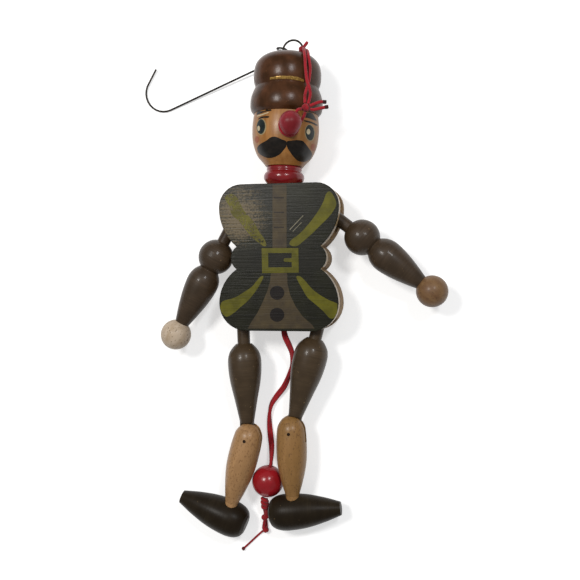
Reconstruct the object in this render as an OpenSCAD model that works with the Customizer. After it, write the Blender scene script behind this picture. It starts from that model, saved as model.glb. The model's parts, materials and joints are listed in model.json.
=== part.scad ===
// Pull string jumping jack: a turned wooden soldier whose arms and legs swing up when the cord is pulled.
// It lies on its back, face up, with its head towards +Y, resting on its hat, its shoes and its pull bead.
// All sizes are in millimetres. The figure is drawn flat, with the middle of its torso at height 0, and
// laid() tips it onto its hat and shoes and puts the middle of its footprint at the origin.

/* [Torso] */
// Height of the torso boards
torso_h = 72; // [62:0.5:85]
// Half width across the shoulders
shoulder_half_w = 29.9; // [27:0.1:34]
// Distance of the shoulders' widest point below the top, which is also the radius of the shoulder corner
shoulder_wide_down = 11.2; // [8:0.1:14]
// Half width at the two waist notches
waist_half_w = 20.9; // [18:0.1:23]
// Height of the upper waist notch
waist_high_y = 41.3; // [39:0.1:44]
// Height of the lower waist notch
waist_low_y = 30.2; // [27:0.1:32]
// How far the belt swells past the notches
belt_swell = 2.9; // [1.5:0.1:4]
// Half width across the hips
hip_half_w = 29.7; // [27:0.1:34]
// Height of the widest point of the hips, which is also the radius of the hip corner
hip_wide_y = 13.5; // [12:0.1:16]
// Thickness of the front board
front_t = 5.5; // [4:0.1:7]
// Thickness of the back board
back_t = 5.5; // [4:0.1:7]
// Gap between the boards, where the limbs swing
core_t = 8; // [7.6:0.1:12]

/* [Core blocks] */
// Half width of the block that holds the neck dowel
neck_block_half_w = 8; // [6:0.1:9]
// Height of the neck block
neck_block_h = 10; // [8:0.1:11]
// Inner edge of the waist part of a side rail, from the middle
rail_waist_x = 15.5; // [14.8:0.1:17]
// Inner edge of the thin lower part of a side rail, from the middle
rail_strip_x = 26.8; // [26.6:0.1:27.2]
// Distance of a side rail's top, which is the floor of the arm opening, below the torso's top
rail_top_down = 27; // [26:0.1:29]
// Bottom of a side rail, above the leg opening
rail_bottom_y = 6; // [5.8:0.1:8]

/* [Pins] */
// Distance of a shoulder pin from the middle
shoulder_pin_x = 24; // [22:0.1:25]
// Mean distance of the shoulder pins below the torso's top
shoulder_pin_down = 15; // [13:0.1:17]
// Distance of a hip pin from the middle
hip_pin_x = 20.2; // [19:0.1:21]
// Mean height of the hip pins
hip_pin_y = 8.4; // [8:0.1:10]
// How much higher the right pins were drilled than the mean, and the left ones lower
pin_skew = 1.2; // [0:0.1:1.5]
// Diameter of the shoulder and hip pins
body_pin_d = 2; // [1.5:0.1:2.5]
// Depth of the blind pin holes in the front board
blind_depth = 2.4; // [1.5:0.1:2.8]
// Diameter of the knee pins
knee_pin_d = 1.6; // [1.2:0.1:2]
// Radial running clearance of a pin in a limb
pin_clearance = 0.06; // [0.03:0.01:0.1]

/* [Arms] */
// Diameter of the arm and leg stems
stem_d = 6.4; // [5.5:0.1:6.8]
// Length of a stem past its pin, inside the torso
inner_len = 12.4; // [12:0.1:13]
// Distance from the pin to the groove that the link cord is looped in
groove_at = 10.4; // [9:0.1:10.6]
// Depth of that groove
groove_depth = 0.9; // [0.6:0.1:1.2]
// Distance from the shoulder pin to the centre of the shoulder ball
ball_at = 21; // [19:0.1:23]
// Diameter of the shoulder ball
ball_d = 17.6; // [15:0.1:19]
// Diameter of the neck between the ball and the arm
arm_neck_d = 10; // [8:0.1:11]
// Largest diameter of the arm
arm_d = 16.2; // [13:0.1:18]
// Distance from the ball's centre to the thickest part of the arm
arm_wide_at = 14.8; // [13:0.1:17]
// Distance from the ball's centre to the wrist
wrist_at = 37; // [34:0.1:42]
// How much longer than the mean the left arm was turned, and the right one shorter, as a share of its length
arm_skew_share = 0.03; // [0:0.005:0.04]
// Diameter of the wrist
wrist_d = 7.2; // [6:0.1:9]
// Diameter of the hand
hand_d = 15.4; // [13:0.1:17]
// Diameter of the wrist's peg inside the hand
peg_d = 4; // [3:0.1:5]
// Length of that peg
peg_len = 5.5; // [4:0.1:7]
// Rest angle of the left arm, from straight down
arm_left_rest = 28.3; // [20:0.1:35]
// Rest angle of the right arm, from straight down
arm_right_rest = 52; // [40:0.1:55]

/* [Legs] */
// Distance from the hip pin to the shoulder of the thigh
thigh_top_at = 14.2; // [13:0.1:16]
// Largest diameter of the thigh
thigh_d = 16.8; // [14:0.1:18]
// Distance from the hip pin to the thickest part of the thigh
thigh_wide_at = 22.8; // [22:0.1:26]
// Diameter of the thigh at the knee
knee_neck_d = 7; // [6:0.1:8]
// Distance from the hip pin to the knee pin
knee_at = 62.2; // [58:0.1:68]
// Thickness of the tongue inside the knee
tongue_t = 3; // [2.4:0.1:3.6]
// Clearance on each side of the tongue
tongue_clearance = 0.25; // [0.15:0.05:0.4]
// Height of the calf's top above the knee pin
calf_top = 8; // [7:0.1:9]
// Largest diameter of the calf
calf_d = 15.2; // [13:0.1:17]
// Distance from the knee pin down to the thickest part of the calf
calf_wide_at = 7; // [5:0.1:9]
// Diameter of the ankle
ankle_d = 6.6; // [5.5:0.1:7.5]
// Distance from the knee pin to the axis of the shoe
shoe_at = 41.1; // [38:0.1:44]
// How much longer than the mean the left calf was turned, and the right one shorter
calf_skew = 0.9; // [0:0.1:1.5]
// Rest angle of the left thigh, outwards from straight down
thigh_left_rest = -2.4; // [-5:0.1:5]
// Rest angle of the right thigh, outwards from straight down
thigh_right_rest = -14.4; // [-15.5:0.1:-10]
// Rest angle of the left calf, outwards from straight down
calf_left_rest = 14.6; // [11:0.1:16]
// Rest angle of the right calf, outwards from straight down
calf_right_rest = 1; // [0:0.1:4]

/* [Shoes] */
// Length of a shoe
shoe_len = 36.2; // [32:0.1:42]
// Largest diameter of a shoe
shoe_d = 18; // [16:0.1:20]
// Diameter of the flat toe
toe_d = 6.6; // [5:0.1:8]
// Distance from the heel to the ankle hole
ankle_from_heel = 10.9; // [9.5:0.1:14]
// How much nearer the heel than the mean the left shoe was bored, and the right one further from it
ankle_skew = 1.3; // [0:0.1:1.5]
// How far the shoe's axis lies behind the leg's
shoe_set_back = 2.5; // [1.5:0.1:3]
// How far past the shoe's axis the ankle reaches
ankle_depth = 2; // [1:0.1:3]
// Angle between the calf and the shoe
shoe_angle = 96; // [90:0.5:105]

/* [Head] */
// Diameter of the neck dowel
dowel_d = 7; // [5:0.1:7.4]
// Depth of the neck dowel in its block, and in the head
dowel_depth = 8.5; // [6:0.1:9.5]
// Distance of the neck from the middle of the torso
neck_x = 0.9; // [0:0.1:2]
// Lean of the head to the right
head_lean = 2; // [0:0.1:4]
// Turn of the face to the right, about the neck dowel
face_turn = 17.5; // [0:0.5:20]
// Height of the collar
collar_h = 9.2; // [7:0.1:11]
// Diameter of the collar's foot on the torso
collar_foot_d = 15; // [12:0.1:17]
// Diameter of the collar's lower ring
collar_low_d = 20.2; // [18:0.1:22]
// Diameter of the collar's upper ring
collar_high_d = 17.6; // [16:0.1:20]
// Height of the head from the collar to the hat
head_h = 25.6; // [22:0.1:29]
// Diameter of the chin
chin_d = 18.6; // [16:0.1:21]
// Largest diameter of the head
head_d = 33.2; // [30:0.1:36]

/* [Hat] */
// Height of the hat
hat_h = 30.6; // [26:0.1:36]
// Largest diameter of the lower lobe
hat_low_d = 36; // [34:0.1:40]
// Diameter at the groove between the lobes
hat_groove_d = 31.4; // [28:0.1:33]
// Height of the groove above the hat's rim
hat_groove_at = 13.4; // [11:0.1:15]
// Largest diameter of the upper lobe
hat_high_d = 33.6; // [31:0.1:37]
// Diameter of the flat top
hat_flat_d = 15; // [13:0.1:18]

/* [Nose] */
// Diameter of the nose bead
nose_d = 10.6; // [8:0.1:12]
// Height of the nose bead
nose_h = 12; // [10:0.1:14]
// Height of the nose bead's middle above the chin
nose_at = 17.6; // [15:0.1:19]
// Diameter of the nose peg
nose_peg_d = 3; // [2:0.1:4]
// Length of the nose peg inside the head
nose_peg_len = 5; // [3:0.1:7]

/* [Hanger] */
// Diameter of the staple's and the hook's wire
wire_d = 1; // [0.8:0.1:1.2]
// Radius of the staple's arch
arch_r = 5; // [4.6:0.1:6]
// Height of the staple's straight legs above the hat
arch_leg = 1.9; // [1.6:0.1:3]
// Depth of the staple's legs in the hat
arch_depth = 6; // [4:0.1:8]
// Distance of the staple from the hat's axis, to the right
arch_shift = 2.3; // [0:0.1:3]
// Radius of the hook's eye
eye_r = 2.4; // [2.2:0.1:3]
// Place of the eye on the arch, as an angle from its right foot
eye_angle = 170; // [165:0.5:172]
// Direction of the hook's shank, from the right
shank_angle = 201.3; // [198:0.1:205]
// Length of the shank, up to the bend
shank_len = 65.6; // [60:0.5:80]
// Depth of the shank behind the figure, where it leaves the eye
shank_back = 15; // [14:0.1:16]
// Depth of the bend behind the figure
bend_back = 17.3; // [16:0.1:17.4]
// Radius of the bend
bend_r = 10.3; // [8:0.1:13]
// Turn of the bend
bend_turn = 141; // [125:1:150]
// Length of the straight tip after the bend
tip_len = 8.7; // [6:0.1:12]

/* [Pull bead] */
// Diameter of the pull bead
bead_d = 16; // [14:0.1:16.4]
// Diameter of the hole through the bead
bead_hole_d = 3.2; // [2.8:0.1:4]
// Place of the bead's middle across the figure, from the middle of the torso
bead_x = -8.2; // [-10:0.1:-8]
// Place of the bead's middle below the torso
bead_y = -76.4; // [-78:0.1:-75]
// Turn of the bead's hole from straight down
bead_turn = 10; // [0:0.5:15]
// Diameter of the doubled pull cord
pull_cord_d = 2.6; // [2:0.1:2.6]
// Diameter of a single cord
cord_d = 1.3; // [1:0.1:1.5]
// Diameter of the knots on the pull cord inside the torso
knot_d = 4; // [3.4:0.1:4.6]
// Distance of the arm link cord's knot below the torso's top
arm_knot_down = 17; // [16:0.1:19]
// Height of the knot of the leg link cord
leg_knot_y = 19.6; // [19:0.1:20]

/* [Hidden] */
$fn = 64;
fit = 0.02; // radial clearance of a glued or driven peg in its hole
overrun = 1; // how far a cut runs past the solid that it cuts
spans = 5; // steps between two stations of a turned curve

stem_r = stem_d / 2;
shoulder_wide_y = torso_h - shoulder_wide_down;
shoulder_pin_y = torso_h - shoulder_pin_down;
rail_top_y = torso_h - rail_top_down;
arm_knot_y = torso_h - arm_knot_down;
pull_x = neck_x; // the pull cord hangs straight below the neck

// Heights along the head's own axis, which starts at the top of the torso
chin_at = collar_h;
rim_at = chin_at + head_h;
hat_top_at = rim_at + hat_h;
lobe_low_share = 0.34; // place of the lower lobe's widest ring, as a share of the groove's height
lobe_low_at = rim_at + lobe_low_share * hat_groove_at;
upper_lobe_h = hat_h - hat_groove_at;
arch_at = hat_top_at + arch_leg;

// How the figure lies: its hat and the lower of its two shoes rest on the table
shoe_reach = shoe_d / 2 + shoe_set_back;
shoe_wide_share = 0.27; // place of the shoe's thickest part, as a share of its length
shoe_shares = [[0, 0.5], [0.035, 0.74], [0.13, 0.94], [shoe_wide_share, 1], [0.52, 0.91], [0.78, 0.66]];
left_shoe_tilt = calf_left_rest + shoe_angle - 90; // rise of the left toe
function calf_len(side) = shoe_at - side * calf_skew;
function ankle_at(side) = ankle_from_heel + side * ankle_skew;
left_ankle_y = hip_pin_y - pin_skew - knee_at * cos(thigh_left_rest) - calf_len(-1) * cos(calf_left_rest);
shoe_rest_y = left_ankle_y + (shoe_wide_share * shoe_len - ankle_at(-1)) * sin(left_shoe_tilt);
hat_rest_y = torso_h + lobe_low_at * cos(head_lean);
lay_tilt = atan((hat_low_d / 2 - shoe_reach) / (hat_rest_y - shoe_rest_y));
lay_lift = (hat_low_d / 2) * cos(lay_tilt) - hat_rest_y * sin(lay_tilt);

arch_centre = [neck_x + arch_shift * cos(head_lean) + arch_at * sin(head_lean),
    torso_h + arch_at * cos(head_lean) - arch_shift * sin(head_lean)];

// The hook's wire, about the arch's centre: round the eye, back behind the hat, along the shank, round the bend
running_gap = 0.12; // between the eye and the staple
eye_off = (eye_r - wire_d - running_gap) * sqrt(0.5);
eye_from = -20; // where the eye's cut end lies, as an angle from its outermost point
function polar(r, a, z) = [r * cos(a), r * sin(a), z];
function eye_point(a) = polar(arch_r + eye_off + eye_r * cos(a), eye_angle, -eye_off + eye_r * sin(a));
eye_bottom = eye_point(-90);
knee_out = 2.2; // how far out of the eye the wire turns back
shank_start = [eye_bottom[0] + (knee_out + wire_d) * cos(eye_angle), eye_bottom[1], -shank_back];
shank_dir = [cos(shank_angle), sin(shank_angle)];
function along_shank(s) = [shank_start[0] + s * shank_dir[0], shank_start[1] + s * shank_dir[1],
    -shank_back - (bend_back - shank_back) * s / shank_len];
bend_centre = [for (k = [0, 1]) along_shank(shank_len)[k]] + bend_r * [shank_dir[1], -shank_dir[0]];
function bend_point(a) = [bend_centre[0] + bend_r * cos(shank_angle + 90 - a),
    bend_centre[1] + bend_r * sin(shank_angle + 90 - a), -bend_back];
tip_angle = shank_angle - bend_turn;
function hook_path() = concat([for (a = [eye_from:20:270]) eye_point(a)],
    through([eye_bottom, eye_bottom + polar(knee_out, eye_angle, -wire_d / 2),
        (eye_bottom + shank_start) / 2 + polar(knee_out / 2, eye_angle, 0), shank_start,
        along_shank(bend_r)], 4),
    [along_shank(shank_len / 2)],
    [for (a = [0:12:bend_turn]) bend_point(a)],
    [bend_point(bend_turn) + polar(tip_len, tip_angle, 0)]);
function hook_route() = [for (p = hook_path()) p + [arch_centre[0], arch_centre[1], 0]];

// The footprint, from the hook's bend to the right hand and from the left shoe to the staple
function ball_place(side) = ball_at * (1 - side * arm_skew_share);
function wrist_place(side) = (ball_at + wrist_at) * (1 - side * arm_skew_share);
function hand_place(side) = wrist_place(side) + sqrt(pow(hand_d / 2, 2) - pow(wrist_d / 2, 2));
right_reach = shoulder_pin_x + hand_place(1) * sin(arm_right_rest) + hand_d / 2;
top_reach = arch_centre[1] + arch_r + wire_d / 2;
low_reach = min([for (s = shoe_stations()) left_ankle_y
    + (s[0] - ankle_at(-1)) * sin(left_shoe_tilt) - s[1] * cos(left_shoe_tilt)]);
left_reach = min([for (p = hook_route()) p[0]]) - wire_d / 2;
centre_x = (left_reach + right_reach) / 2;
centre_y = (low_reach * cos(lay_tilt) + shoe_set_back * sin(lay_tilt)
    + top_reach * cos(lay_tilt)) / 2;

// Cord routes that lie on the table: across from the torso's middle, up from its bottom edge, and height
PULL_ROUTE = [[0.9, -0.2, 14.4], [1.6, -3.5, 13.8], [3.2, -7.5, 12.4], [4.3, -11.5, 10.4], [4, -16, 8],
    [2.6, -20.5, 5.6], [0.8, -25, 3.6], [-1.6, -29.5, 2.2], [-5, -33.8, 1.5], [-7.9, -38.2, 1.4],
    [-9, -43, 1.4], [-9, -48.5, 1.4], [-8.4, -54, 1.8], [-7.5, -59, 3.2], [-6.9, -63.5, 5.6],
    [-6.7, -66.6, 7.5], [-6.8, -68.6, 8], [-8.2, -76.4, 8], [-9.5, -84.3, 8]];
BEAD_KNOT_ROUTE = [[-9.7, -85.4, 8], [-9.9, -87.4, 7.2], [-10.2, -90.6, 4.6], [-10.5, -94.2, 2.4],
    [-10.8, -98, 2], [-10.9, -102, 2]];
TAIL_ROUTE = [[-11.6, -102.9, 1.5], [-12.8, -103.9, 1], [-15.5, -106.4, 0.8], [-19, -109.8, 0.8],
    [-22.4, -113, 0.8]];
// Cord routes that lie on the head: across and up the same, and out from the middle of the torso's thickness
HANG_ROUTE_LEFT = [[11.6, 138.35, 4.6], [12.2, 137.5, 6.3], [12.8, 136.2, 8.4], [13.2, 134.8, 10.6],
    [14, 131.5, 12.9], [14.4, 126.4, 13.6], [15.2, 120, 14.1], [16.35, 116.8, 14.4], [16.7, 114, 13.5],
    [16.3, 111.5, 13.4], [15.7, 108.7, 14.2]];
HANG_ROUTE_RIGHT = [[12.6, 138.3, 1.5], [13.5, 137.2, 4.3], [14.4, 135.5, 7.4], [15.4, 132.3, 11],
    [16.3, 126.4, 11.6], [15.7, 120, 12.3], [15.1, 116.8, 13.3], [14.4, 113.4, 14.6], [14.3, 111, 14.5],
    [14.3, 109.1, 14.9]];
NOSE_ROUTE = [[14.5, 104.8, 14.8], [13.6, 102.4, 15], [11.2, 99.1, 14.9], [10.5, 95.7, 15.3],
    [7.5, 93.7, 16.3], [4.1, 94.9, 17.3], [2.7, 98.1, 17.6], [3.5, 101.6, 17.5], [6.6, 103.5, 16.7],
    [9.5, 102.7, 15.8], [11.2, 105.3, 17.5], [12.9, 106.1, 16.3]];
HANG_KNOT = [14.6, 106.9, 14.8];
KNOT_TAIL_UPPER = [[16.65, 107.7, 14.9], [18.6, 108.4, 15], [21.6, 109.4, 14.6], [24.3, 109.4, 13.9]];
KNOT_TAIL_LOWER = [[16.75, 106.2, 14.5], [18.5, 105.9, 14.4], [22, 106.6, 14], [25.2, 107.2, 13.5]];

// Places a table route beside the figure
module tabled() translate([-centre_x, -centre_y, 0]) children();

// Lays the flat figure on its hat and shoes
module laid() translate([-centre_x, -centre_y, lay_lift]) rotate([lay_tilt, 0, 0]) children();

// Where a point of the flat figure lies
function laid_point(p) = [p[0] - centre_x,
    p[1] * cos(lay_tilt) - p[2] * sin(lay_tilt) - centre_y,
    p[1] * sin(lay_tilt) + p[2] * cos(lay_tilt) + lay_lift];

// Curves for outlines and turnings
function arc(c, r, from, to, n = 12) = [for (i = [0:n]) let (a = from + (to - from) * i / n)
    [c[0] + r * cos(a), c[1] + r * sin(a)]];
function bow_r(swell, half) = (swell * swell + half * half) / (2 * swell);
function slope_at(s, i) = let (a = s[max(i - 1, 0)], b = s[min(i + 1, len(s) - 1)])
    (b[1] - a[1]) / (b[0] - a[0]);
function eased(s, i, t) = let (h = s[i + 1][0] - s[i][0])
    (2 * t * t * t - 3 * t * t + 1) * s[i][1] + (t * t * t - 2 * t * t + t) * h * slope_at(s, i)
    + (3 * t * t - 2 * t * t * t) * s[i + 1][1] + (t * t * t - t * t) * h * slope_at(s, i + 1);
function smooth(s) = concat([for (i = [0:len(s) - 2], k = [0:spans - 1])
    [s[i][0] + (s[i + 1][0] - s[i][0]) * k / spans, eased(s, i, k / spans)]], [s[len(s) - 1]]);

// A turned solid along +Z, from a list of [place, radius]
module turned(profile) rotate_extrude()
    polygon(concat([[0, profile[0][0]]], [for (p = profile) [p[1], p[0]]],
        [[0, profile[len(profile) - 1][0]]]));

// Stations of a turning: shares of a length that starts at a place, and of a radius
function stations(shares, from, length, r) = [for (s = shares) [from + s[0] * length, s[1] * r]];

// Tubes along a route
function unit(v) = v / norm(v);
function span_point(p, i, t) = let (a = p[max(i - 1, 0)], b = p[i], c = p[i + 1],
    d = p[min(i + 2, len(p) - 1)]) 0.5 * (2 * b + (c - a) * t + (2 * a - 5 * b + 4 * c - d) * t * t
    + (3 * b - a - 3 * c + d) * t * t * t);
function through(p, n) = concat([for (i = [0:len(p) - 2], k = [0:n - 1]) span_point(p, i, k / n)],
    [p[len(p) - 1]]);
function headings(p) = [for (i = [0:len(p) - 1]) unit(p[min(i + 1, len(p) - 1)] - p[max(i - 1, 0)])];
function carried(t, i, u) = i >= len(t) ? [] :
    let (v = unit(u - (u * t[i]) * t[i])) concat([v], carried(t, i + 1, v));
module tube(p, r, n = 8) {
    t = headings(p);
    u = carried(t, 0, abs(t[0][2]) < 0.8 ? [0, 0, 1] : [1, 0, 0]);
    points = [for (i = [0:len(p) - 1], k = [0:n - 1])
        p[i] + r * (cos(360 * k / n) * u[i] + sin(360 * k / n) * cross(t[i], u[i]))];
    last = (len(p) - 1) * n;
    walls = [for (i = [0:len(p) - 2], k = [0:n - 1], half = [0, 1])
        let (a = i * n + k, b = i * n + (k + 1) % n) half == 0 ? [a, b + n, b] : [a, a + n, b + n]];
    ends = [for (k = [1:n - 2], side = [0, 1]) side == 0 ? [0, k, k + 1] : [last, last + k + 1, last + k]];
    polyhedron(points, concat(walls, ends));
}

// Torso: half of the outline, from the middle of the top edge to the middle of the bottom edge
flank_r = bow_r(shoulder_half_w - waist_half_w, shoulder_wide_y - waist_high_y);
flank_turn = asin((shoulder_wide_y - waist_high_y) / flank_r);
belt_half = (waist_high_y - waist_low_y) / 2;
belt_r = bow_r(belt_swell, belt_half);
belt_turn = asin(belt_half / belt_r);
hip_flank_r = bow_r(hip_half_w - waist_half_w, waist_low_y - hip_wide_y);
hip_flank_turn = asin((waist_low_y - hip_wide_y) / hip_flank_r);
quarter = 90; // degrees in a corner's arc

function half_outline() = concat([[0, torso_h]],
    arc([shoulder_half_w - shoulder_wide_down, shoulder_wide_y], shoulder_wide_down, quarter, 0, 8),
    arc([shoulder_half_w - flank_r, shoulder_wide_y], flank_r, 0, -flank_turn, 8),
    arc([waist_half_w + belt_swell - belt_r, waist_low_y + belt_half], belt_r, belt_turn, -belt_turn, 8),
    arc([hip_half_w - hip_flank_r, hip_wide_y], hip_flank_r, hip_flank_turn, 0, 8),
    arc([hip_half_w - hip_wide_y, hip_wide_y], hip_wide_y, 0, -quarter, 8), [[0, 0]]);
same_point = 0.01; // points nearer than this are one point
function without_repeats(p) = [for (i = [0:len(p) - 1])
    if (i == 0 || norm(p[i] - p[i - 1]) > same_point) p[i]];
module torso_outline() let (half = without_repeats(half_outline()), n = len(half))
    polygon(concat(half, [for (i = [n - 2:-1:1]) [-half[i][0], half[i][1]]]));

function pin_y(mean, side) = mean + side * pin_skew;
module body_pin_holes(r, low, high) for (side = [-1, 1]) {
    translate([side * shoulder_pin_x, pin_y(shoulder_pin_y, side), low]) cylinder(h = high - low, r = r);
    translate([side * hip_pin_x, pin_y(hip_pin_y, side), low]) cylinder(h = high - low, r = r);
}

module front_board() color("#33352b") laid() difference() {
    translate([0, 0, core_t / 2]) linear_extrude(front_t) torso_outline();
    body_pin_holes(body_pin_d / 2 + fit, core_t / 2 - overrun, core_t / 2 + blind_depth);
}

module back_board() color("#8a6a43") laid() difference() {
    translate([0, 0, -core_t / 2 - back_t]) linear_extrude(back_t) torso_outline();
    body_pin_holes(body_pin_d / 2 + fit, -core_t / 2 - back_t - overrun, -core_t / 2 + overrun);
}

module core_piece() translate([0, 0, -core_t / 2]) linear_extrude(core_t) intersection() {
    torso_outline();
    children();
}

module neck_block() color("#b98d58") laid() difference() {
    core_piece() translate([neck_x - neck_block_half_w, torso_h - neck_block_h])
        square([2 * neck_block_half_w, neck_block_h]);
    head_frame() translate([0, 0, -dowel_depth]) cylinder(h = dowel_depth + overrun, d = dowel_d + 2 * fit);
}

// Side rails: the waist part ends in an arc round the top of the leg's stem, and a thin strip runs on down
rail_gap = 0.4; // between the swinging stem's end and the rail
module side_rail(side) {
    c = [hip_pin_x, pin_y(hip_pin_y, side)];
    r = norm([inner_len, stem_r]) + rail_gap;
    cavity = arc(c, r, acos((rail_strip_x - c[0]) / r), acos((rail_waist_x - c[0]) / r));
    outline = concat([[rail_waist_x, rail_top_y], [shoulder_half_w, rail_top_y],
        [shoulder_half_w, rail_bottom_y], [rail_strip_x, rail_bottom_y]], cavity);
    core_piece() polygon([for (p = outline) [side * p[0], p[1]]]);
}
module side_rail_left() color("#b98d58") laid() side_rail(-1);
module side_rail_right() color("#b98d58") laid() side_rail(1);

// Pins: nails driven in from the back, blind in the front board
module body_pin(mean_y, x, side) color("#8d8f90") laid()
    translate([side * x, pin_y(mean_y, side), -core_t / 2 - back_t])
        cylinder(h = back_t + core_t + blind_depth - fit, d = body_pin_d);
module shoulder_pin_left() body_pin(shoulder_pin_y, shoulder_pin_x, -1);
module shoulder_pin_right() body_pin(shoulder_pin_y, shoulder_pin_x, 1);
module hip_pin_left() body_pin(hip_pin_y, hip_pin_x, -1);
module hip_pin_right() body_pin(hip_pin_y, hip_pin_x, 1);

// Head: its axis rises from the torso's top, and its own +Z runs up it
module head_frame() translate([neck_x, torso_h, 0]) rotate([0, 0, -head_lean]) rotate([-90, 0, 0])
    children();

module neck_dowel() color("#b98d58") laid() head_frame() translate([0, 0, -dowel_depth + fit])
    cylinder(h = 2 * dowel_depth + collar_h - 2 * fit, d = dowel_d);

collar_low_shares = [[0.12, 0.86], [0.28, 0.975], [0.46, 1], [0.62, 0.95]];
collar_high_shares = [[0.74, 0.98], [0.86, 1], [1, 0.96]];
collar_stations = concat([[-overrun, collar_foot_d / 2], [0, collar_foot_d / 2]],
    stations(collar_low_shares, 0, collar_h, collar_low_d / 2),
    stations(collar_high_shares, 0, collar_h, collar_high_d / 2));
// The leaning collar's foot is cut flat along the torso's top
module collar() color("#7d1c20") laid() difference() {
    head_frame() turned(smooth(collar_stations));
    head_frame() translate([0, 0, -2 * overrun]) cylinder(h = collar_h + 3 * overrun, d = dowel_d + 2 * fit);
    translate([neck_x - collar_low_d, torso_h - collar_low_d, -collar_low_d])
        cube([2 * collar_low_d, collar_low_d, 2 * collar_low_d]);
}

head_shares = [[0.05, 0.62], [0.2, 0.82], [0.42, 0.955], [0.68, 1], [0.88, 0.985], [1, 0.96]];
head_stations = concat([[chin_at, chin_d / 2]], stations(head_shares, chin_at, head_h, head_d / 2));
crown_d = 20; // diameter of the head's peg inside the hat
crown_h = 6; // height of that peg
module nose_hole(r, from, to) rotate([0, 0, face_turn]) translate([0, 0, chin_at + nose_at])
    rotate([90, 0, 0]) translate([0, 0, from]) cylinder(h = to - from, r = r);
module head() color("#a8824f") laid() head_frame() difference() {
    union() {
        turned(smooth(head_stations));
        translate([0, 0, rim_at - overrun]) cylinder(h = crown_h + overrun, d = crown_d);
    }
    translate([0, 0, chin_at - overrun]) cylinder(h = dowel_depth + overrun, d = dowel_d + 2 * fit);
    nose_hole(nose_peg_d / 2 + fit, head_d / 2 - nose_peg_len, head_d / 2 + overrun);
}

hat_low_shares = [[0, 0.9], [0.13, 0.975], [lobe_low_share, 1], [0.6, 0.985], [0.83, 0.93]];
hat_low_stations = concat(stations(hat_low_shares, rim_at, hat_groove_at, hat_low_d / 2),
    [[rim_at + hat_groove_at, hat_groove_d / 2]]);
hat_high_shares = [[0.15, 0.985], [0.33, 1], [0.52, 0.985], [0.7, 0.925], [0.85, 0.79], [0.95, 0.61]];
hat_high_stations = concat([[rim_at + hat_groove_at, hat_groove_d / 2]],
    stations(hat_high_shares, rim_at + hat_groove_at, upper_lobe_h, hat_high_d / 2),
    [[hat_top_at, hat_flat_d / 2]]);
module hat() color("#3b2a1f") laid() head_frame() difference() {
    turned(concat(smooth(hat_low_stations), smooth(hat_high_stations)));
    translate([0, 0, rim_at - overrun]) cylinder(h = crown_h + fit + overrun, d = crown_d + 2 * fit);
    for (side = [-1, 1]) translate([arch_shift + side * arch_r, 0,
        hat_top_at - arch_depth - fit]) cylinder(h = arch_depth + fit + overrun, d = wire_d + 2 * fit);
}

nose_tip_d = 0.02; // of the bead's pointed ends
nose_shares = [[0.035, 0.32], [0.19, 0.7], [0.45, 0.98], [0.625, 0.99], [0.85, 0.74], [0.97, 0.34]];
nose_stations = concat([[-nose_h / 2, nose_tip_d / 2]],
    stations(nose_shares, -nose_h / 2, nose_h, nose_d / 2), [[nose_h / 2, nose_tip_d / 2]]);
nose_out = (head_d + nose_d) / 2; // distance of the nose bead's middle from the head's axis
module nose_bead() color("#8d1f24") laid() head_frame() {
    rotate([0, 0, face_turn]) translate([0, -nose_out, chin_at + nose_at]) turned(smooth(nose_stations));
    nose_hole(nose_peg_d / 2, head_d / 2 - nose_peg_len + fit, nose_out);
}

// Hanger: a wire staple in the hat's top, and a bent wire hook whose eye slides round it
module arch_frame() translate([arch_centre[0], arch_centre[1], 0]) children();
module hanger_staple() color("#4a4640") laid() arch_frame() rotate([0, 0, -head_lean]) {
    rotate_extrude(angle = 180) translate([arch_r, 0]) circle(d = wire_d, $fn = 24);
    for (side = [-1, 1]) translate([side * arch_r, 0, 0]) rotate([90, 0, 0])
        cylinder(h = arch_leg + arch_depth, d = wire_d, $fn = 24);
}

module hanging_hook() color("#2c2a28") laid() tube(hook_route(), wire_d / 2, 10);

// Limbs: their own +Z runs outwards from the pin, and their own Y runs through the figure
module limb_frame(side, x, y, angle) translate([side * x, y, 0]) rotate([0, 0, side * angle])
    rotate([90, 0, 0]) children();
module across(h, d) rotate([90, 0, 0]) cylinder(h = h, d = d, center = true);
module stem(outer) difference() {
    translate([0, 0, -inner_len]) cylinder(h = inner_len + outer, d = stem_d);
    translate([0, 0, -groove_at]) rotate_extrude() translate([stem_r + cord_d / 2 - groove_depth, 0])
        circle(d = cord_d + groove_clearance, $fn = 24);
}
groove_clearance = 0.4; // between the looped link cord and its groove, across

ball_neck_turn = acos(arm_neck_d / ball_d);
ball_stem_turn = acos(stem_d / ball_d);
function ball_profile(side) = arc([ball_place(side), 0], ball_d / 2, quarter + ball_stem_turn,
    quarter - ball_neck_turn, 14);
arm_rise_shares = [[0.42, 0.88], [1, 1]]; // from the ball to the thickest part
arm_fall_shares = [[0.35, 0.9], [0.7, 0.68]]; // from there to the wrist
function arm_stations(side) = let (neck = ball_place(side) + ball_d / 2 * sin(ball_neck_turn),
    wide = ball_place(side) + arm_wide_at, wrist = wrist_place(side))
    concat([[neck, arm_neck_d / 2]], stations(arm_rise_shares, neck, wide - neck, arm_d / 2),
        stations(arm_fall_shares, wide, wrist - wide, arm_d / 2), [[wrist, wrist_d / 2]]);
module arm(side) difference() {
    union() {
        stem(ball_place(side));
        turned(concat(ball_profile(side), smooth(arm_stations(side))));
        translate([0, 0, wrist_place(side) - overrun]) cylinder(h = peg_len + overrun, d = peg_d);
    }
    across(2 * stem_d, body_pin_d + 2 * pin_clearance);
}
module arm_place(side, angle) laid() limb_frame(side, shoulder_pin_x, pin_y(shoulder_pin_y, side), angle)
    children();
module arm_left() color("#3d3528") arm_place(-1, arm_left_rest) arm(-1);
module arm_right() color("#3d3528") arm_place(1, arm_right_rest) arm(1);

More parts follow.
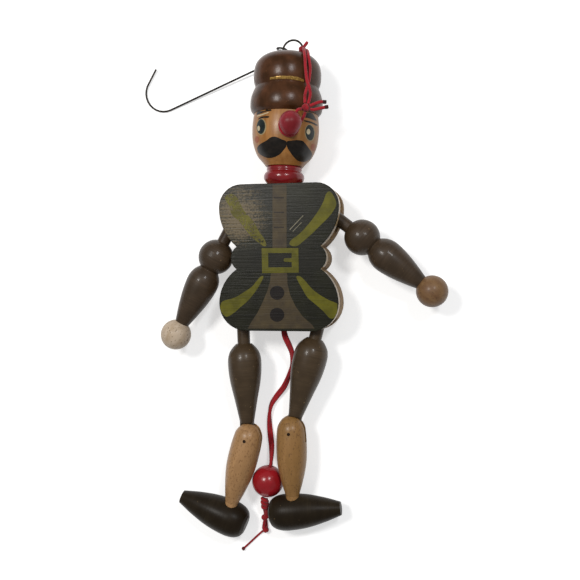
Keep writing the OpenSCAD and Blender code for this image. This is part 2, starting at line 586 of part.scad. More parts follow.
module hand(side) difference() {
    translate([0, 0, hand_place(side)]) sphere(d = hand_d);
    translate([0, 0, wrist_place(side) - hand_d]) cylinder(h = hand_d, d = hand_d);
    translate([0, 0, wrist_place(side) - overrun]) cylinder(h = peg_len + fit + overrun, d = peg_d + 2 * fit);
}
module hand_left() color("#a08a6c") arm_place(-1, arm_left_rest) hand(-1);
module hand_right() color("#a08a6c") arm_place(1, arm_right_rest) hand(1);

knee_neck_at = knee_at - calf_top - 2 * tongue_clearance;
thigh_top_share = 1.25; // radius of the thigh's top edge, as a share of the stem's
thigh_rise_shares = [[0.18, 0.66], [0.5, 0.89], [1, 1]]; // from the top to the thickest part
thigh_fall_shares = [[0.3, 0.93], [0.65, 0.67]]; // from there to the knee
thigh_stations = concat([[thigh_top_at, stem_r * thigh_top_share]],
    stations(thigh_rise_shares, thigh_top_at, thigh_wide_at - thigh_top_at, thigh_d / 2),
    stations(thigh_fall_shares, thigh_wide_at, knee_neck_at - thigh_wide_at, thigh_d / 2),
    [[knee_neck_at, knee_neck_d / 2]]);
tongue_share = 0.96; // width of the tongue, as a share of the thigh's end
tongue_r = knee_neck_d / 2 * tongue_share;
module thigh() difference() {
    union() {
        stem(thigh_top_at + overrun);
        turned(smooth(thigh_stations));
        translate([-tongue_r, -tongue_t / 2, knee_neck_at - overrun])
            cube([2 * tongue_r, tongue_t, knee_at - knee_neck_at + overrun]);
        translate([0, 0, knee_at]) across(tongue_t, 2 * tongue_r);
    }
    across(2 * stem_d, body_pin_d + 2 * pin_clearance);
    translate([0, 0, knee_at]) across(2 * stem_d, knee_pin_d + 2 * pin_clearance);
}
module thigh_place(side, angle) laid() limb_frame(side, hip_pin_x, pin_y(hip_pin_y, side), angle) children();
module thigh_left() color("#3d3528") thigh_place(-1, thigh_left_rest) thigh();
module thigh_right() color("#3d3528") thigh_place(1, thigh_right_rest) thigh();

// Calves hang from the knee pins, and their own +Z runs down from the pin
module calf_place(side, thigh_angle, calf_angle) laid()
    translate([side * (hip_pin_x + knee_at * sin(thigh_angle)), pin_y(hip_pin_y, side)
        - knee_at * cos(thigh_angle), 0]) rotate([0, 0, side * calf_angle]) rotate([90, 0, 0]) children();
function calf_end(side) = calf_len(side) - shoe_d / 2;
calf_top_shares = [[-1, 0.36], [-0.86, 0.58], [-0.5, 0.84], [-0.17, 0.94]]; // above the pin
calf_fall_shares = [[0, 1], [0.35, 0.95], [0.72, 0.71]]; // from the thickest part to the shoe
ankle_top_share = 1.03; // radius of the calf where it meets the ankle, as a share of the ankle's
function calf_stations(side) = concat(stations(calf_top_shares, 0, calf_top, calf_d / 2),
    stations(calf_fall_shares, calf_wide_at, calf_end(side) - calf_wide_at, calf_d / 2),
    [[calf_end(side), ankle_d / 2 * ankle_top_share]]);
slot_clearance = 1.4; // between the tongue's end and the floor of the knee slot
module calf(side) difference() {
    slotted_calf(side);
    across(2 * calf_d, knee_pin_d + 2 * fit);
}
module slotted_calf(side) difference() {
    union() {
        rotate([0, 0, quarter / 2]) turned(smooth(calf_stations(side)));
        translate([0, 0, calf_end(side) - overrun])
            cylinder(h = calf_len(side) + ankle_depth - fit - calf_end(side) + overrun, d = ankle_d);
    }
    translate([-calf_d, -tongue_t / 2 - tongue_clearance, -calf_top - overrun])
        cube([2 * calf_d, tongue_t + 2 * tongue_clearance, calf_top + tongue_r + slot_clearance + overrun]);
}
module calf_left() color("#a8865c") calf_place(-1, thigh_left_rest, calf_left_rest) calf(-1);
module calf_right() color("#a8865c") calf_place(1, thigh_right_rest, calf_right_rest) calf(1);
pin_sunk = 0.3; // how far the knee pin's ends lie below the calf's surface
calf_pin_share = 0.965; // thickness of the calf at the pin, as a share of its largest diameter
module knee_pin() across(calf_d * calf_pin_share - 2 * pin_sunk, knee_pin_d);
module knee_pin_left() color("#5b4a3a") calf_place(-1, thigh_left_rest, calf_left_rest) knee_pin();
module knee_pin_right() color("#5b4a3a") calf_place(1, thigh_right_rest, calf_right_rest) knee_pin();

// Shoes: turned, blunt at the toe, and bored across for the ankle
function shoe_stations() = concat(stations(shoe_shares, 0, shoe_len, shoe_d / 2), [[shoe_len, toe_d / 2]]);
module shoe_place(side, thigh_angle, calf_angle) calf_place(side, thigh_angle, calf_angle)
    translate([0, -shoe_set_back, calf_len(side)]) rotate([0, side * shoe_angle, 0])
        translate([0, 0, -ankle_at(side)]) children();
module shoe(side, thigh_angle, calf_angle) difference() {
    shoe_place(side, thigh_angle, calf_angle) turned(smooth(shoe_stations()));
    calf_place(side, thigh_angle, calf_angle) translate([0, 0, calf_len(side) - shoe_d])
        cylinder(h = shoe_d + ankle_depth, d = ankle_d + 2 * fit);
}
module shoe_left() color("#262020") shoe(-1, thigh_left_rest, calf_left_rest);
module shoe_right() color("#262020") shoe(1, thigh_right_rest, calf_right_rest);

// Link cords: a loop in each stem's groove, and a strand from it to the knot on the pull cord
loop_r = stem_r + cord_d / 2 - groove_depth;
function stem_point(side, x, mean_y, angle, s) =
    [side * (x + s * sin(angle)), pin_y(mean_y, side) - s * cos(angle), 0];
module link_strand(side, x, mean_y, angle, knot_y) {
    loop = stem_point(side, x, mean_y, angle, -groove_at);
    knot = [pull_x, knot_y, 0];
    along = [side * sin(angle), -cos(angle), 0];
    lead = knot - loop;
    off = unit(lead - (lead * along) * along);
    out = loop + (stem_r + cord_d) * off;
    limb_frame(side, x, pin_y(mean_y, side), angle) translate([0, 0, -groove_at]) rotate_extrude()
        translate([loop_r, 0]) circle(d = cord_d, $fn = 16);
    end = knot - (knot_d / 2 + fit) * unit(knot - out);
    tube([loop + loop_r * off, out, (out + end) / 2, end], cord_d / 2);
}
module arm_link_cord() color("#9b1a22") laid() {
    link_strand(-1, shoulder_pin_x, shoulder_pin_y, arm_left_rest, arm_knot_y);
    link_strand(1, shoulder_pin_x, shoulder_pin_y, arm_right_rest, arm_knot_y);
}
module leg_link_cord() color("#9b1a22") laid() {
    link_strand(-1, hip_pin_x, hip_pin_y, thigh_left_rest, leg_knot_y);
    link_strand(1, hip_pin_x, hip_pin_y, thigh_right_rest, leg_knot_y);
}
module inner_cord() color("#9b1a22") laid() {
    translate([pull_x, 0, 0]) rotate([-90, 0, 0]) cylinder(h = arm_knot_y, d = pull_cord_d);
    for (y = [leg_knot_y, arm_knot_y]) translate([pull_x, y, 0]) sphere(d = knot_d);
}

// Pull cord: it leaves the torso, falls to the table and runs through the bead to a knot with a loose tail
rounds = 2; // steps between two points of a cord's route
module pull_cord() color("#9b1a22") tabled() tube(through(PULL_ROUTE, rounds), pull_cord_d / 2);
module pull_bead() color("#8c1a20") tabled() translate([bead_x, bead_y, bead_d / 2])
    rotate([0, 0, -bead_turn]) difference() {
        sphere(d = bead_d);
        across(2 * bead_d, bead_hole_d);
    }
bead_knot_r = 1.8; // of the knotted stretch below the bead
module bead_knot() color("#9b1a22") tabled() tube(through(BEAD_KNOT_ROUTE, rounds), bead_knot_r);
module pull_tail() color("#9b1a22") tabled() tube(through(TAIL_ROUTE, rounds), cord_d / 2 * tail_share);
tail_share = 0.85; // thickness of the frayed tail, as a share of the cord

// Hang cord: tied round the staple's right leg, it runs down the hat to a knot beside the nose and round it
staple_knot_d = 3; // diameter of the knot at the staple
staple_leg = [arch_centre[0] + arch_r * cos(head_lean), arch_centre[1] - arch_r * sin(head_lean)];
ring_r = (wire_d + cord_d) / 2 + fit; // of the cord's turn round the leg
module staple_knot() color("#9b1a22") laid() translate([staple_leg[0], staple_leg[1], 0])
    rotate([0, 0, -head_lean]) translate([0, fit - arch_leg, 0]) {
        translate([0, cord_d / 2, 0]) rotate([90, 0, 0]) rotate_extrude() translate([ring_r, 0])
            circle(d = cord_d, $fn = 16);
        translate([0, staple_knot_d / 2, (wire_d + cord_d + staple_knot_d) / 2]) sphere(d = staple_knot_d);
    }
module hang_cord_left() color("#9b1a22") laid() tube(through(HANG_ROUTE_LEFT, rounds), cord_d / 2);
module hang_cord_right() color("#9b1a22") laid() tube(through(HANG_ROUTE_RIGHT, rounds), cord_d / 2);
module hang_knot() color("#9b1a22") laid() translate(HANG_KNOT) sphere(d = knot_d);
module knot_tail_upper() color("#9b1a22") laid() tube(through(KNOT_TAIL_UPPER, rounds), cord_d / 2);
module knot_tail_lower() color("#9b1a22") laid() tube(through(KNOT_TAIL_LOWER, rounds), cord_d / 2);
module nose_loop() color("#9b1a22") laid() tube(through(NOSE_ROUTE, rounds), cord_d / 2);

front_board();
back_board();
neck_block();
side_rail_left();
side_rail_right();
neck_dowel();
collar();
head();
hat();
nose_bead();
hanger_staple();
hanging_hook();
shoulder_pin_left();
shoulder_pin_right();
hip_pin_left();
hip_pin_right();
arm_left();
arm_right();
hand_left();
hand_right();
thigh_left();
thigh_right();
calf_left();
calf_right();
knee_pin_left();
knee_pin_right();
shoe_left();
shoe_right();
arm_link_cord();
leg_link_cord();
inner_cord();
pull_cord();
pull_bead();
bead_knot();
pull_tail();
staple_knot();
hang_cord_left();
hang_cord_right();
hang_knot();
knot_tail_upper();
knot_tail_lower();
nose_loop();

echo(centre = [centre_x, centre_y], tilt = lay_tilt, lift = lay_lift);
echo(shoulder_left = laid_point([-shoulder_pin_x, pin_y(shoulder_pin_y, -1), 0]));
echo(shoulder_right = laid_point([shoulder_pin_x, pin_y(shoulder_pin_y, 1), 0]));
echo(hip_left = laid_point([-hip_pin_x, pin_y(hip_pin_y, -1), 0]));
echo(hip_right = laid_point([hip_pin_x, pin_y(hip_pin_y, 1), 0]));
echo(arch = laid_point([arch_centre[0], arch_centre[1], 0]), arch_flat = arch_centre);
echo(reach = [left_reach, right_reach, low_reach, top_reach]);
echo(cord_exit = laid_point([pull_x, 0, 0]));
echo(knee_left = laid_point([-(hip_pin_x + knee_at * sin(thigh_left_rest)),
    pin_y(hip_pin_y, -1) - knee_at * cos(thigh_left_rest), 0]));
echo(knee_right = laid_point([hip_pin_x + knee_at * sin(thigh_right_rest),
    pin_y(hip_pin_y, 1) - knee_at * cos(thigh_right_rest), 0]));
echo(staple_leg = staple_leg, bend_centre = bend_centre + arch_centre);
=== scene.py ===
"""Looks of a pull string jumping jack: cords, paint and wood on its solids.

Everything is in metres in the solids' own axes. A flat place is given in millimetres on the toy as it was
drawn flat: across from the middle of the torso, up from its bottom edge, and out from the middle of its
thickness.
"""

import json
import math
import random

import bmesh
import bpy
from mathutils import Matrix, Vector
from mathutils.bvhtree import BVHTree
from mathutils.geometry import delaunay_2d_cdt


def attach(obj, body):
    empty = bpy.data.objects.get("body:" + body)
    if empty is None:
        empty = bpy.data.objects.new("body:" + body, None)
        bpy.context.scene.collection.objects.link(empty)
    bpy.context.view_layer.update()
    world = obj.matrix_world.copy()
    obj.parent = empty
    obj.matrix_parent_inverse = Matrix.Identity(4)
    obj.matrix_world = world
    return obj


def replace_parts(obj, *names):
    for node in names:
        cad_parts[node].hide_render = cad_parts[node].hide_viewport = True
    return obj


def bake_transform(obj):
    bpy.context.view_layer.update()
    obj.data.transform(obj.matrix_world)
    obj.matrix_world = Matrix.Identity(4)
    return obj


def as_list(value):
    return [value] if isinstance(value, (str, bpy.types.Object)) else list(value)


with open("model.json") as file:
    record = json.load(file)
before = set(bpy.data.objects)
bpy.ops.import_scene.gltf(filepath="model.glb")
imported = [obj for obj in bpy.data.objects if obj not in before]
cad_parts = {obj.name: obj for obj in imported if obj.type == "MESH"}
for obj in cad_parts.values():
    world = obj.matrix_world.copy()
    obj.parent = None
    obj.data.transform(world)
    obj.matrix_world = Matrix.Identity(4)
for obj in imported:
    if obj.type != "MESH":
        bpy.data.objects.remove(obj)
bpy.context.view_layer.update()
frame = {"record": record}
random.seed(7)

# The toy on the table: a flat wooden figure that lies on its back. The hat is its thickest piece, so the
# head lies a little higher than the shoes. The camera stands above it and a little to the right, at arm's
# length.
MM = 0.001
PHOTO_PX = 580
FOCAL_PX = 804
AIM = (4.05, 20, 0)
DISTANCE = 0.4
YAW = math.radians(11.5)
LEFT_SHOULDER = (-24, 55.8, 0)  # the nail by which the flat toy is laid over the solids
joints = {joint["name"]: joint for joint in frame["record"]["behaviour"]["joints"]}
# The hook's axis shows how far the toy tips on its thick hat
lay = Matrix.Rotation(math.asin(joints["hook_swing"]["axis"][1]), 3, "X")
origin = Vector(joints["shoulder_left"]["pos_m"]) - lay @ (Vector(LEFT_SHOULDER) * MM)


def laid(x, y, z):
    """A flat place, where the toy lies."""
    return origin + lay @ (Vector((x, y, z)) * MM)


def tabled(x, y, height):
    """A place beside the toy, with its height above the table."""
    return Vector((origin.x + x * MM, origin.y + y * MM, height * MM))


back = lay @ Vector((math.sin(YAW), 0, math.cos(YAW)))
up = lay @ Vector((0, 1, 0))
right = up.cross(back)
eye = laid(*AIM) + DISTANCE * back
camera = bpy.data.objects.new("camera", bpy.data.cameras.new("camera"))
bpy.context.scene.collection.objects.link(camera)
camera.matrix_world = Matrix.Translation(eye) @ Matrix((right, up, back)).transposed().to_4x4()
camera.data.angle = 2 * math.atan(PHOTO_PX / 2 / FOCAL_PX)
camera.data.clip_start = 0.01
bpy.context.scene.camera = camera

# Pull cord: red cotton cord, doubled and loosely twisted. It leaves the torso's lower edge, falls to the
# table and runs through the bead. Each strand is three plies.
CORD_D = 1.3 * MM
STRAND_D = 1.6 * MM  # a strand's plies swell it where it isn't drawn tight
PULL_D = 2.6 * MM
PULL_STRAND_D = 1.8 * MM  # the pull cord's strands are the slackest
PULL_LAY = 54 * MM  # the two strands wind once round each other in this length
PLY_LAY = 4 * MM  # and the three plies of a strand in this one
PLY_DEPTH = 0.2  # the hollows between plies, as a share of the strand's radius
BLUNT_END = 0.8  # a strand's end is pinched to this share
STEPS_PER_LAY = 8
STRAND_SIDES = 18
FIBRES_ROUND = 14
FIBRE_LENGTH = 1.1 * MM
FIBRE_SLANT = 0.015
PULL_ROUTE = [(0.9, -0.2, 14.4), (1.6, -3.5, 13.8), (3.2, -7.5, 12.4), (4.3, -11.5, 10.4), (4, -16, 8),
              (2.6, -20.5, 5.6), (0.8, -25, 3.6), (-1.6, -29.5, 2.2), (-5, -33.8, 1.7), (-7.9, -38.2, 1.6),
              (-9, -43, 1.6), (-9, -48.5, 1.6), (-8.4, -54, 1.9), (-7.5, -59, 3.2), (-6.9, -63.5, 5.6),
              (-6.7, -66.6, 7.5), (-6.8, -68.6, 8), (-8.2, -76.4, 8), (-9.5, -84.3, 8)]


def tone(hex_code):
    """An sRGB colour as linear light."""
    values = [int(hex_code[i:i + 2], 16) / 255 for i in (1, 3, 5)]
    return [v / 12.92 if v <= 0.04045 else ((v + 0.055) / 1.055) ** 2.4 for v in values] + [1]


def add(tree, kind, inputs=None, **settings):
    """A node with its settings, and with values or links in its inputs."""
    node = tree.nodes.new("ShaderNode" + kind)
    for name, value in settings.items():
        setattr(node, name, value)
    for name, value in (inputs or {}).items():
        if isinstance(value, bpy.types.NodeSocket):
            tree.links.new(value, node.inputs[name])
        else:
            node.inputs[name].default_value = value
    return node


def shaded(tree, pattern, low, high, dark, light):
    """A colour that goes from dark to light as a pattern's value goes from low to high."""
    share = add(tree, "MapRange", {"Value": pattern, "From Min": low, "From Max": high}).outputs[0]
    return add(tree, "Mix", {0: share, 6: dark, 7: light}, data_type="RGBA").outputs[2]


def material(name):
    """An empty material and its nodes."""
    made = bpy.data.materials.new(name)
    made.use_nodes = True
    made.node_tree.nodes.clear()
    return made, made.node_tree


def surfaced(tree, colour, rough, height, bump, depth, edge=0.3 * MM, **shader):
    """Ends a material: relief as deep as depth, edges softened unless it is a film, and the shader."""
    relief = add(tree, "Bump", {"Height": height, "Strength": bump, "Distance": depth})
    if edge:
        tree.links.new(add(tree, "Bevel", {"Radius": edge}, samples=4).outputs[0], relief.inputs["Normal"])
    inputs = {"Base Color": colour, "Roughness": rough, "Normal": relief.outputs[0]}
    inputs.update({name.replace("_", " "): value for name, value in shader.items()})
    surface = add(tree, "BsdfPrincipled", inputs)
    add(tree, "OutputMaterial", {0: surface.outputs[0]})


def dyed_cotton(name, dark, light, shade_red):
    """Dyed, twisted cotton: no gloss, fibres wound round each ply, and painted shade in patches of a deeper
    red.
    """
    made, tree = material(name)
    wrapped = add(tree, "TexCoord").outputs["UV"]  # once round the strand, and metres along it
    fibres = add(tree, "Mapping", {"Vector": wrapped, "Scale": (FIBRES_ROUND, 1 / FIBRE_LENGTH, 1),
                                   "Rotation": (0, 0, FIBRE_SLANT)})
    fibre = add(tree, "TexNoise", {"Vector": fibres.outputs[0], "Scale": 1, "Detail": 3}).outputs[0]
    place = add(tree, "TexCoord").outputs["Object"]
    # Painted shade: the deeper red in patches about four millimetres across
    shade_patch = add(tree, "TexNoise", {"Vector": place, "Scale": 1 / (4 * MM), "Detail": 3}).outputs[0]
    colour = shaded(tree, fibre, 0.3, 0.72, tone(dark), tone(light))
    colour = shaded(tree, shade_patch, 0.5, 0.78, colour, tone(shade_red))
    surfaced(tree, colour, 0.85, fibre, 0.6, 0.12 * MM, 0.1 * MM, Specular_IOR_Level=0.3, Sheen_Weight=0.25)
    return made


def between(a, b, c, d, t):
    """A point on the smooth curve from b to c, which comes from a and goes on to d."""
    return 0.5 * (2 * b + (c - a) * t + (2 * a - 5 * b + 4 * c - d) * t ** 2
                  + (3 * b - a - 3 * c + d) * t ** 3)


def through(points):
    """A smooth route through points, in steps short enough to show the plies."""
    route = []
    for i in range(len(points) - 1):
        a, b, c, d = (points[max(i - 1, 0)], points[i], points[i + 1], points[min(i + 2, len(points) - 1)])
        steps = max(2, math.ceil((c - b).length / (PLY_LAY / STEPS_PER_LAY)))
        route += [between(a, b, c, d, k / steps) for k in range(steps)]
    return route + [points[-1]]


def length_of(route):
    """How long a route is."""
    return sum((b - a).length for a, b in zip(route, route[1:]))


def travelled(route, lay_length):
    """At each point of a route: the point, two directions across it, the twist, and the length so far."""
    across, gone = None, 0.0
    for i, spot in enumerate(route):
        heading = (route[min(i + 1, len(route) - 1)] - route[max(i - 1, 0)]).normalized()
        across = across or heading.orthogonal().normalized()
        across = (across - across.dot(heading) * heading).normalized()
        gone += (spot - route[i - 1]).length if i else 0
        yield spot, across, heading.cross(across), 2 * math.pi * gone / lay_length, gone


def wound_pair(route, apart, lay_length):
    """Two routes that wind round each other along a route."""
    pair = ([], [])
    for spot, across, other, twist, _ in travelled(route, lay_length):
        off = apart / 2 * (math.cos(twist) * other - math.sin(twist) * across)
        pair[0].append(spot + off)
        pair[1].append(spot - off)
    return pair


def linked(name, vertices, faces):
    """A smooth mesh object in the scene."""
    mesh = bpy.data.meshes.new(name)
    mesh.from_pydata([tuple(v) for v in vertices], [], faces)
    mesh.validate()
    for face in mesh.polygons:
        face.use_smooth = True
    piece = bpy.data.objects.new(name, mesh)
    bpy.context.scene.collection.objects.link(piece)
    return piece


def strands(name, routes, radius):
    """Three-ply strands along routes, as one mesh, wrapped with UVs."""
    vertices, faces, wraps, sides = [], [], [], STRAND_SIDES
    for route in routes:
        start = len(vertices)
        for i, (spot, across, other, twist, gone) in enumerate(travelled(route, PLY_LAY)):
            size = radius * (BLUNT_END if i in (0, len(route) - 1) else 1)
            for k in range(sides):
                angle = 2 * math.pi * k / sides
                wound = (angle - twist) / (2 * math.pi)
                bulge = math.sqrt(max(0.0, 1 - (2 * (3 * wound % 1) - 1) ** 2))
                reach = size * (1 - PLY_DEPTH + PLY_DEPTH * bulge)
                vertices.append(spot + reach * (math.cos(angle) * across + math.sin(angle) * other))
                wraps.append((wound, gone))
        for i in range(len(route) - 1):
            for k in range(sides):
                a, b = start + i * sides + k, start + i * sides + (k + 1) % sides
                faces.append((a, b, b + sides, a + sides))
        end = start + (len(route) - 1) * sides
        faces.append(tuple(range(start + sides - 1, start - 1, -1)))
        faces.append(tuple(range(end, end + sides)))
    piece = linked(name, vertices, faces)
    layer = piece.data.uv_layers.new(name="UVMap")
    for loop in piece.data.loops:
        layer.data[loop.index].uv = wraps[loop.vertex_index]
    return piece


def dressed(piece, made, body=None):
    """Gives a piece its material, and its body unless it bends between two."""
    piece.data.materials.clear()
    piece.data.materials.append(made)
    if body:
        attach(piece, body)
    return piece


red_cotton = dyed_cotton("dyed_cotton_pull_cord", "#8a101a", "#b01a25", "#6a0b13")
pull_path = through([tabled(*p) for p in PULL_ROUTE])
pull_pair = wound_pair(pull_path, PULL_D - CORD_D, PULL_LAY)
pull_cord = strands("pull_cord_strands", pull_pair, PULL_STRAND_D / 2)
dressed(pull_cord, red_cotton, "pull")
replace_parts(pull_cord, "pull_cord")

# Knots below the bead: the doubled cord is tied over itself there, so that the bead can't slip off. One
# strand ends in a small knot, and the other runs on as a thin loose tail with a dirty knot at its tip.
BEAD_KNOT_ROUTE = [(-9.7, -85.4, 8), (-9.9, -87.4, 7.2), (-10.2, -90.6, 4.6), (-10.5, -94.2, 2.4),
                   (-10.8, -98, 2), (-10.9, -102, 2)]
STUB_KNOT = (-10.5, -102.4, 2.2)
TAIL_ROUTE = [(-11.6, -102.9, 1.5), (-12.8, -103.9, 1), (-15.5, -106.4, 0.8), (-19, -109.8, 0.8),
              (-22.4, -113, 0.8)]
TAIL_D = 1.1 * MM
TAIL_KNOT = (-22.4, -113, 1.15)
STUB_KNOT_R = 0.8 * MM
TAIL_KNOT_R = 0.5 * MM
KNOT_APART = 1.7 * MM  # the doubled cord is slacker here than above the bead
KNOT_LAY = 36 * MM
KNOT_WAVER = 0.08  # how unevenly a knot's turns lie, as a share of its radius
# A turn is tied round the knotted stretch at each of these shares of it, and slants one way or the other
WRAPS = {0.06: 1, 0.16: 1, 0.26: -1, 0.66: -1}
WRAP_R = 1.3 * MM
WRAP_SLANT = 0.9 * MM
ONE_TURN = [2 * math.pi * k / 12 for k in range(13)]


def turns_about(centre, size, count):
    """The routes of a tied knot: turns of cord laid over each other about a centre."""
    routes = []
    for n in range(count):
        axis = Vector((random.uniform(-1, 1), random.uniform(-1, 1), random.uniform(-0.4, 1))).normalized()
        side = axis.orthogonal().normalized()
        other = axis.cross(side)
        ring = []
        for a in ONE_TURN:
            reach = size * (1 + KNOT_WAVER * math.sin(3 * a + n))
            ring.append(centre + reach * (math.cos(a) * side + math.sin(a) * other))
        routes.append(through(ring))
    return routes


knot_path = through([tabled(*p) for p in BEAD_KNOT_ROUTE])
knot_routes = list(wound_pair(knot_path, KNOT_APART, KNOT_LAY))
for share, way in WRAPS.items():
    at = int(share * (len(knot_path) - 1))
    ahead = (knot_path[min(at + 2, len(knot_path) - 1)] - knot_path[max(at - 2, 0)]).normalized()
    side = ahead.orthogonal().normalized()
    other = ahead.cross(side)
    knot_routes.append(through([knot_path[at] + WRAP_R * (math.cos(a) * side + math.sin(a) * other)
                                + ahead * WRAP_SLANT * way * math.sin(a) for a in ONE_TURN]))
knot_routes += turns_about(tabled(*STUB_KNOT), STUB_KNOT_R, 4)
bead_knots = strands("bead_knot_strands", knot_routes, PULL_STRAND_D / 2)
dressed(bead_knots, red_cotton, "pull")
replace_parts(bead_knots, "bead_knot")
tail_path = through([tabled(*p) for p in TAIL_ROUTE])
tail = dressed(strands("pull_tail_strand", [tail_path], TAIL_D / 2), red_cotton, "pull")
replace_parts(tail, "pull_tail")
tail_turns = turns_about(tabled(*TAIL_KNOT), TAIL_KNOT_R, 3)
dirty_cotton = dyed_cotton("dyed_cotton_dark_knot", "#4a0b10", "#74121a", "#2c0709")
tail_knot = dressed(strands("pull_tail_knot", tail_turns, TAIL_KNOT_R), dirty_cotton, "pull")
tuple(pull_path[0])
length_of(pull_path)
[tuple(p) for p in pull_path]

# Inner cord and link cords: the same cord goes on inside the torso to a knot level with the arms. A
# thinner cord is tied to it at each pair of limbs, and lies in a groove round the inner end of each.
INNER_X = 0.9
INNER_HEIGHTS = (0, 14, 28, 42, 55)
HIP_KNOT_Y = 19.6
SHOULDER_KNOT_Y = 55
INNER_KNOT_R = 1.3 * MM
STEM_R = 3.2 * MM
LOOP_R = 2.95 * MM
LOOP_TURN = [math.radians(degrees) for degrees in range(-330, 1, 30)]
GROOVE_AT = 10.4  # the groove's distance past the nail, along the limb's stem
# Where each limb's nail is, and how many degrees the limb leans
LIMBS = {"arm_left": (LEFT_SHOULDER, -28.3), "arm_right": ((24, 58.2, 0), 52),
         "thigh_left": ((-20.2, 7.2, 0), 2.4), "thigh_right": ((20.2, 9.6, 0), -14.4)}
inner_path = through([laid(INNER_X, y, 0) for y in INNER_HEIGHTS])
inner_routes = list(wound_pair(inner_path, PULL_D - CORD_D, PULL_LAY))
for y in (HIP_KNOT_Y, SHOULDER_KNOT_Y):
    inner_routes += turns_about(laid(INNER_X, y, 0), INNER_KNOT_R, 4)
inner_cord = strands("inner_cord_strands", inner_routes, CORD_D / 2)
dressed(inner_cord, red_cotton, "pull")
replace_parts(inner_cord, "inner_cord")
for limb, (nail, degrees) in LIMBS.items():
    is_arm = limb.startswith("arm")
    lean = math.radians(degrees)
    along = lay @ Vector((math.sin(lean), -math.cos(lean), 0))
    loop = laid(*nail) - GROOVE_AT * MM * along
    knot = laid(INNER_X, SHOULDER_KNOT_Y if is_arm else HIP_KNOT_Y, 0)
    lead = knot - loop
    off = (lead - lead.dot(along) * along).normalized()
    other = along.cross(off)
    ring = [loop + LOOP_R * (math.cos(a) * off + math.sin(a) * other) for a in LOOP_TURN]
    out = loop + (STEM_R + CORD_D) * off
    halfway = (out + knot) / 2
    outer = strands(f"{limb}_link_loop", [through(ring + [out, halfway])], CORD_D / 2)
    dressed(outer, red_cotton)
    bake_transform(outer)
    inner = strands(f"{limb}_link_end", [through([halfway, (halfway + knot) / 2, knot])], CORD_D / 2)
    dressed(inner, red_cotton)
    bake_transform(inner)
    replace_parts(outer, "arm_link_cord" if is_arm else "leg_link_cord")

# Pull bead: a turned wooden ball, bored through and dipped in red enamel, which gives it a wet shine. The
# cord's knots hold it.
def gloss_enamel(name, dark, light, rough, chipped, shine=0.25, mirrored=0.4):
    """Enamel dipped or brushed thick on wood: glossy, a little uneven, with pinhead chips to the ground."""
    made, tree = material(name)
    place = add(tree, "TexCoord").outputs["Object"]
    cloud = add(tree, "TexNoise", {"Vector": place, "Scale": 1 / (6 * MM), "Detail": 3}).outputs[0]
    colour = shaded(tree, cloud, 0.35, 0.7, tone(dark), tone(light))
    chip = add(tree, "TexNoise", {"Vector": place, "Scale": 1 / (1.2 * MM), "Detail": 3}).outputs[0]
    colour = shaded(tree, chip, 0.7, 0.76, colour, tone(chipped))
    uneven = add(tree, "Math", {0: cloud, 1: chip}, operation="ADD").outputs[0]
    surfaced(tree, colour, rough, uneven, 0.35, 0.12 * MM, Coat_Weight=shine, Coat_Roughness=0.14,
             Specular_IOR_Level=mirrored)
    return made


def refinish(made, *nodes):
    """Gives solids of the frame a better material."""
    for node in nodes:
        bpy.data.objects[node].data.materials.clear()
        bpy.data.objects[node].data.materials.append(made)


refinish(gloss_enamel("red_bead_enamel", "#8e141c", "#a61c26", 0.26, "#6c1217", shine=0.1), "pull_bead")

# Torso: two sawn boards nailed to side rails and a block, with a dowel in the block for the head. Only
# the front was painted, so the sawn edges are bare and grubby, and the paint has run a little over them.
TORSO_FACE = 9.5  # the face's height over the middle of the torso's thickness
# The middle of the patch by the left shoulder, whose greyish brown specks are partly wear and partly a
# painted highlight
TUNIC_WEAR_AND_GLARE = (-20, 56, TORSO_FACE)
WEAR_AND_GLARE_REACH = 36 * MM
PAINT_RUN = 1.9 * MM  # how far paint has run down the sawn edge


def sawn_wood(name, light, dark):
    """Bare sawn softwood: matt, with fine saw lines along the grain and grime in the pores."""
    made, tree = material(name)
    place = add(tree, "TexCoord").outputs["Object"]
    sawn = add(tree, "Mapping", {"Vector": place, "Scale": (1 / (12 * MM), 1 / (1.2 * MM), 1 / (1.6 * MM))})
    lines = add(tree, "TexNoise", {"Vector": sawn.outputs[0], "Scale": 1, "Detail": 5}).outputs[0]
    grime = add(tree, "TexNoise", {"Vector": place, "Scale": 1 / (5 * MM), "Detail": 4}).outputs[0]
    colour = shaded(tree, lines, 0.3, 0.7, tone(dark), tone(light))
    colour = shaded(tree, grime, 0.5, 0.75, colour, tone(dark))
    surfaced(tree, colour, 0.75, lines, 0.45, 0.12 * MM)
    return made


def saw_ridges(tree, place):
    """The saw's ridges across the front board, about a millimetre apart, which show through its paint."""
    sawn = add(tree, "Mapping", {"Vector": place, "Scale": (1 / (22 * MM), 1 / (0.9 * MM), 1 / (30 * MM))})
    return add(tree, "TexNoise", {"Vector": sawn.outputs[0], "Scale": 1, "Detail": 4,
                                  "Roughness": 0.65}).outputs[0]


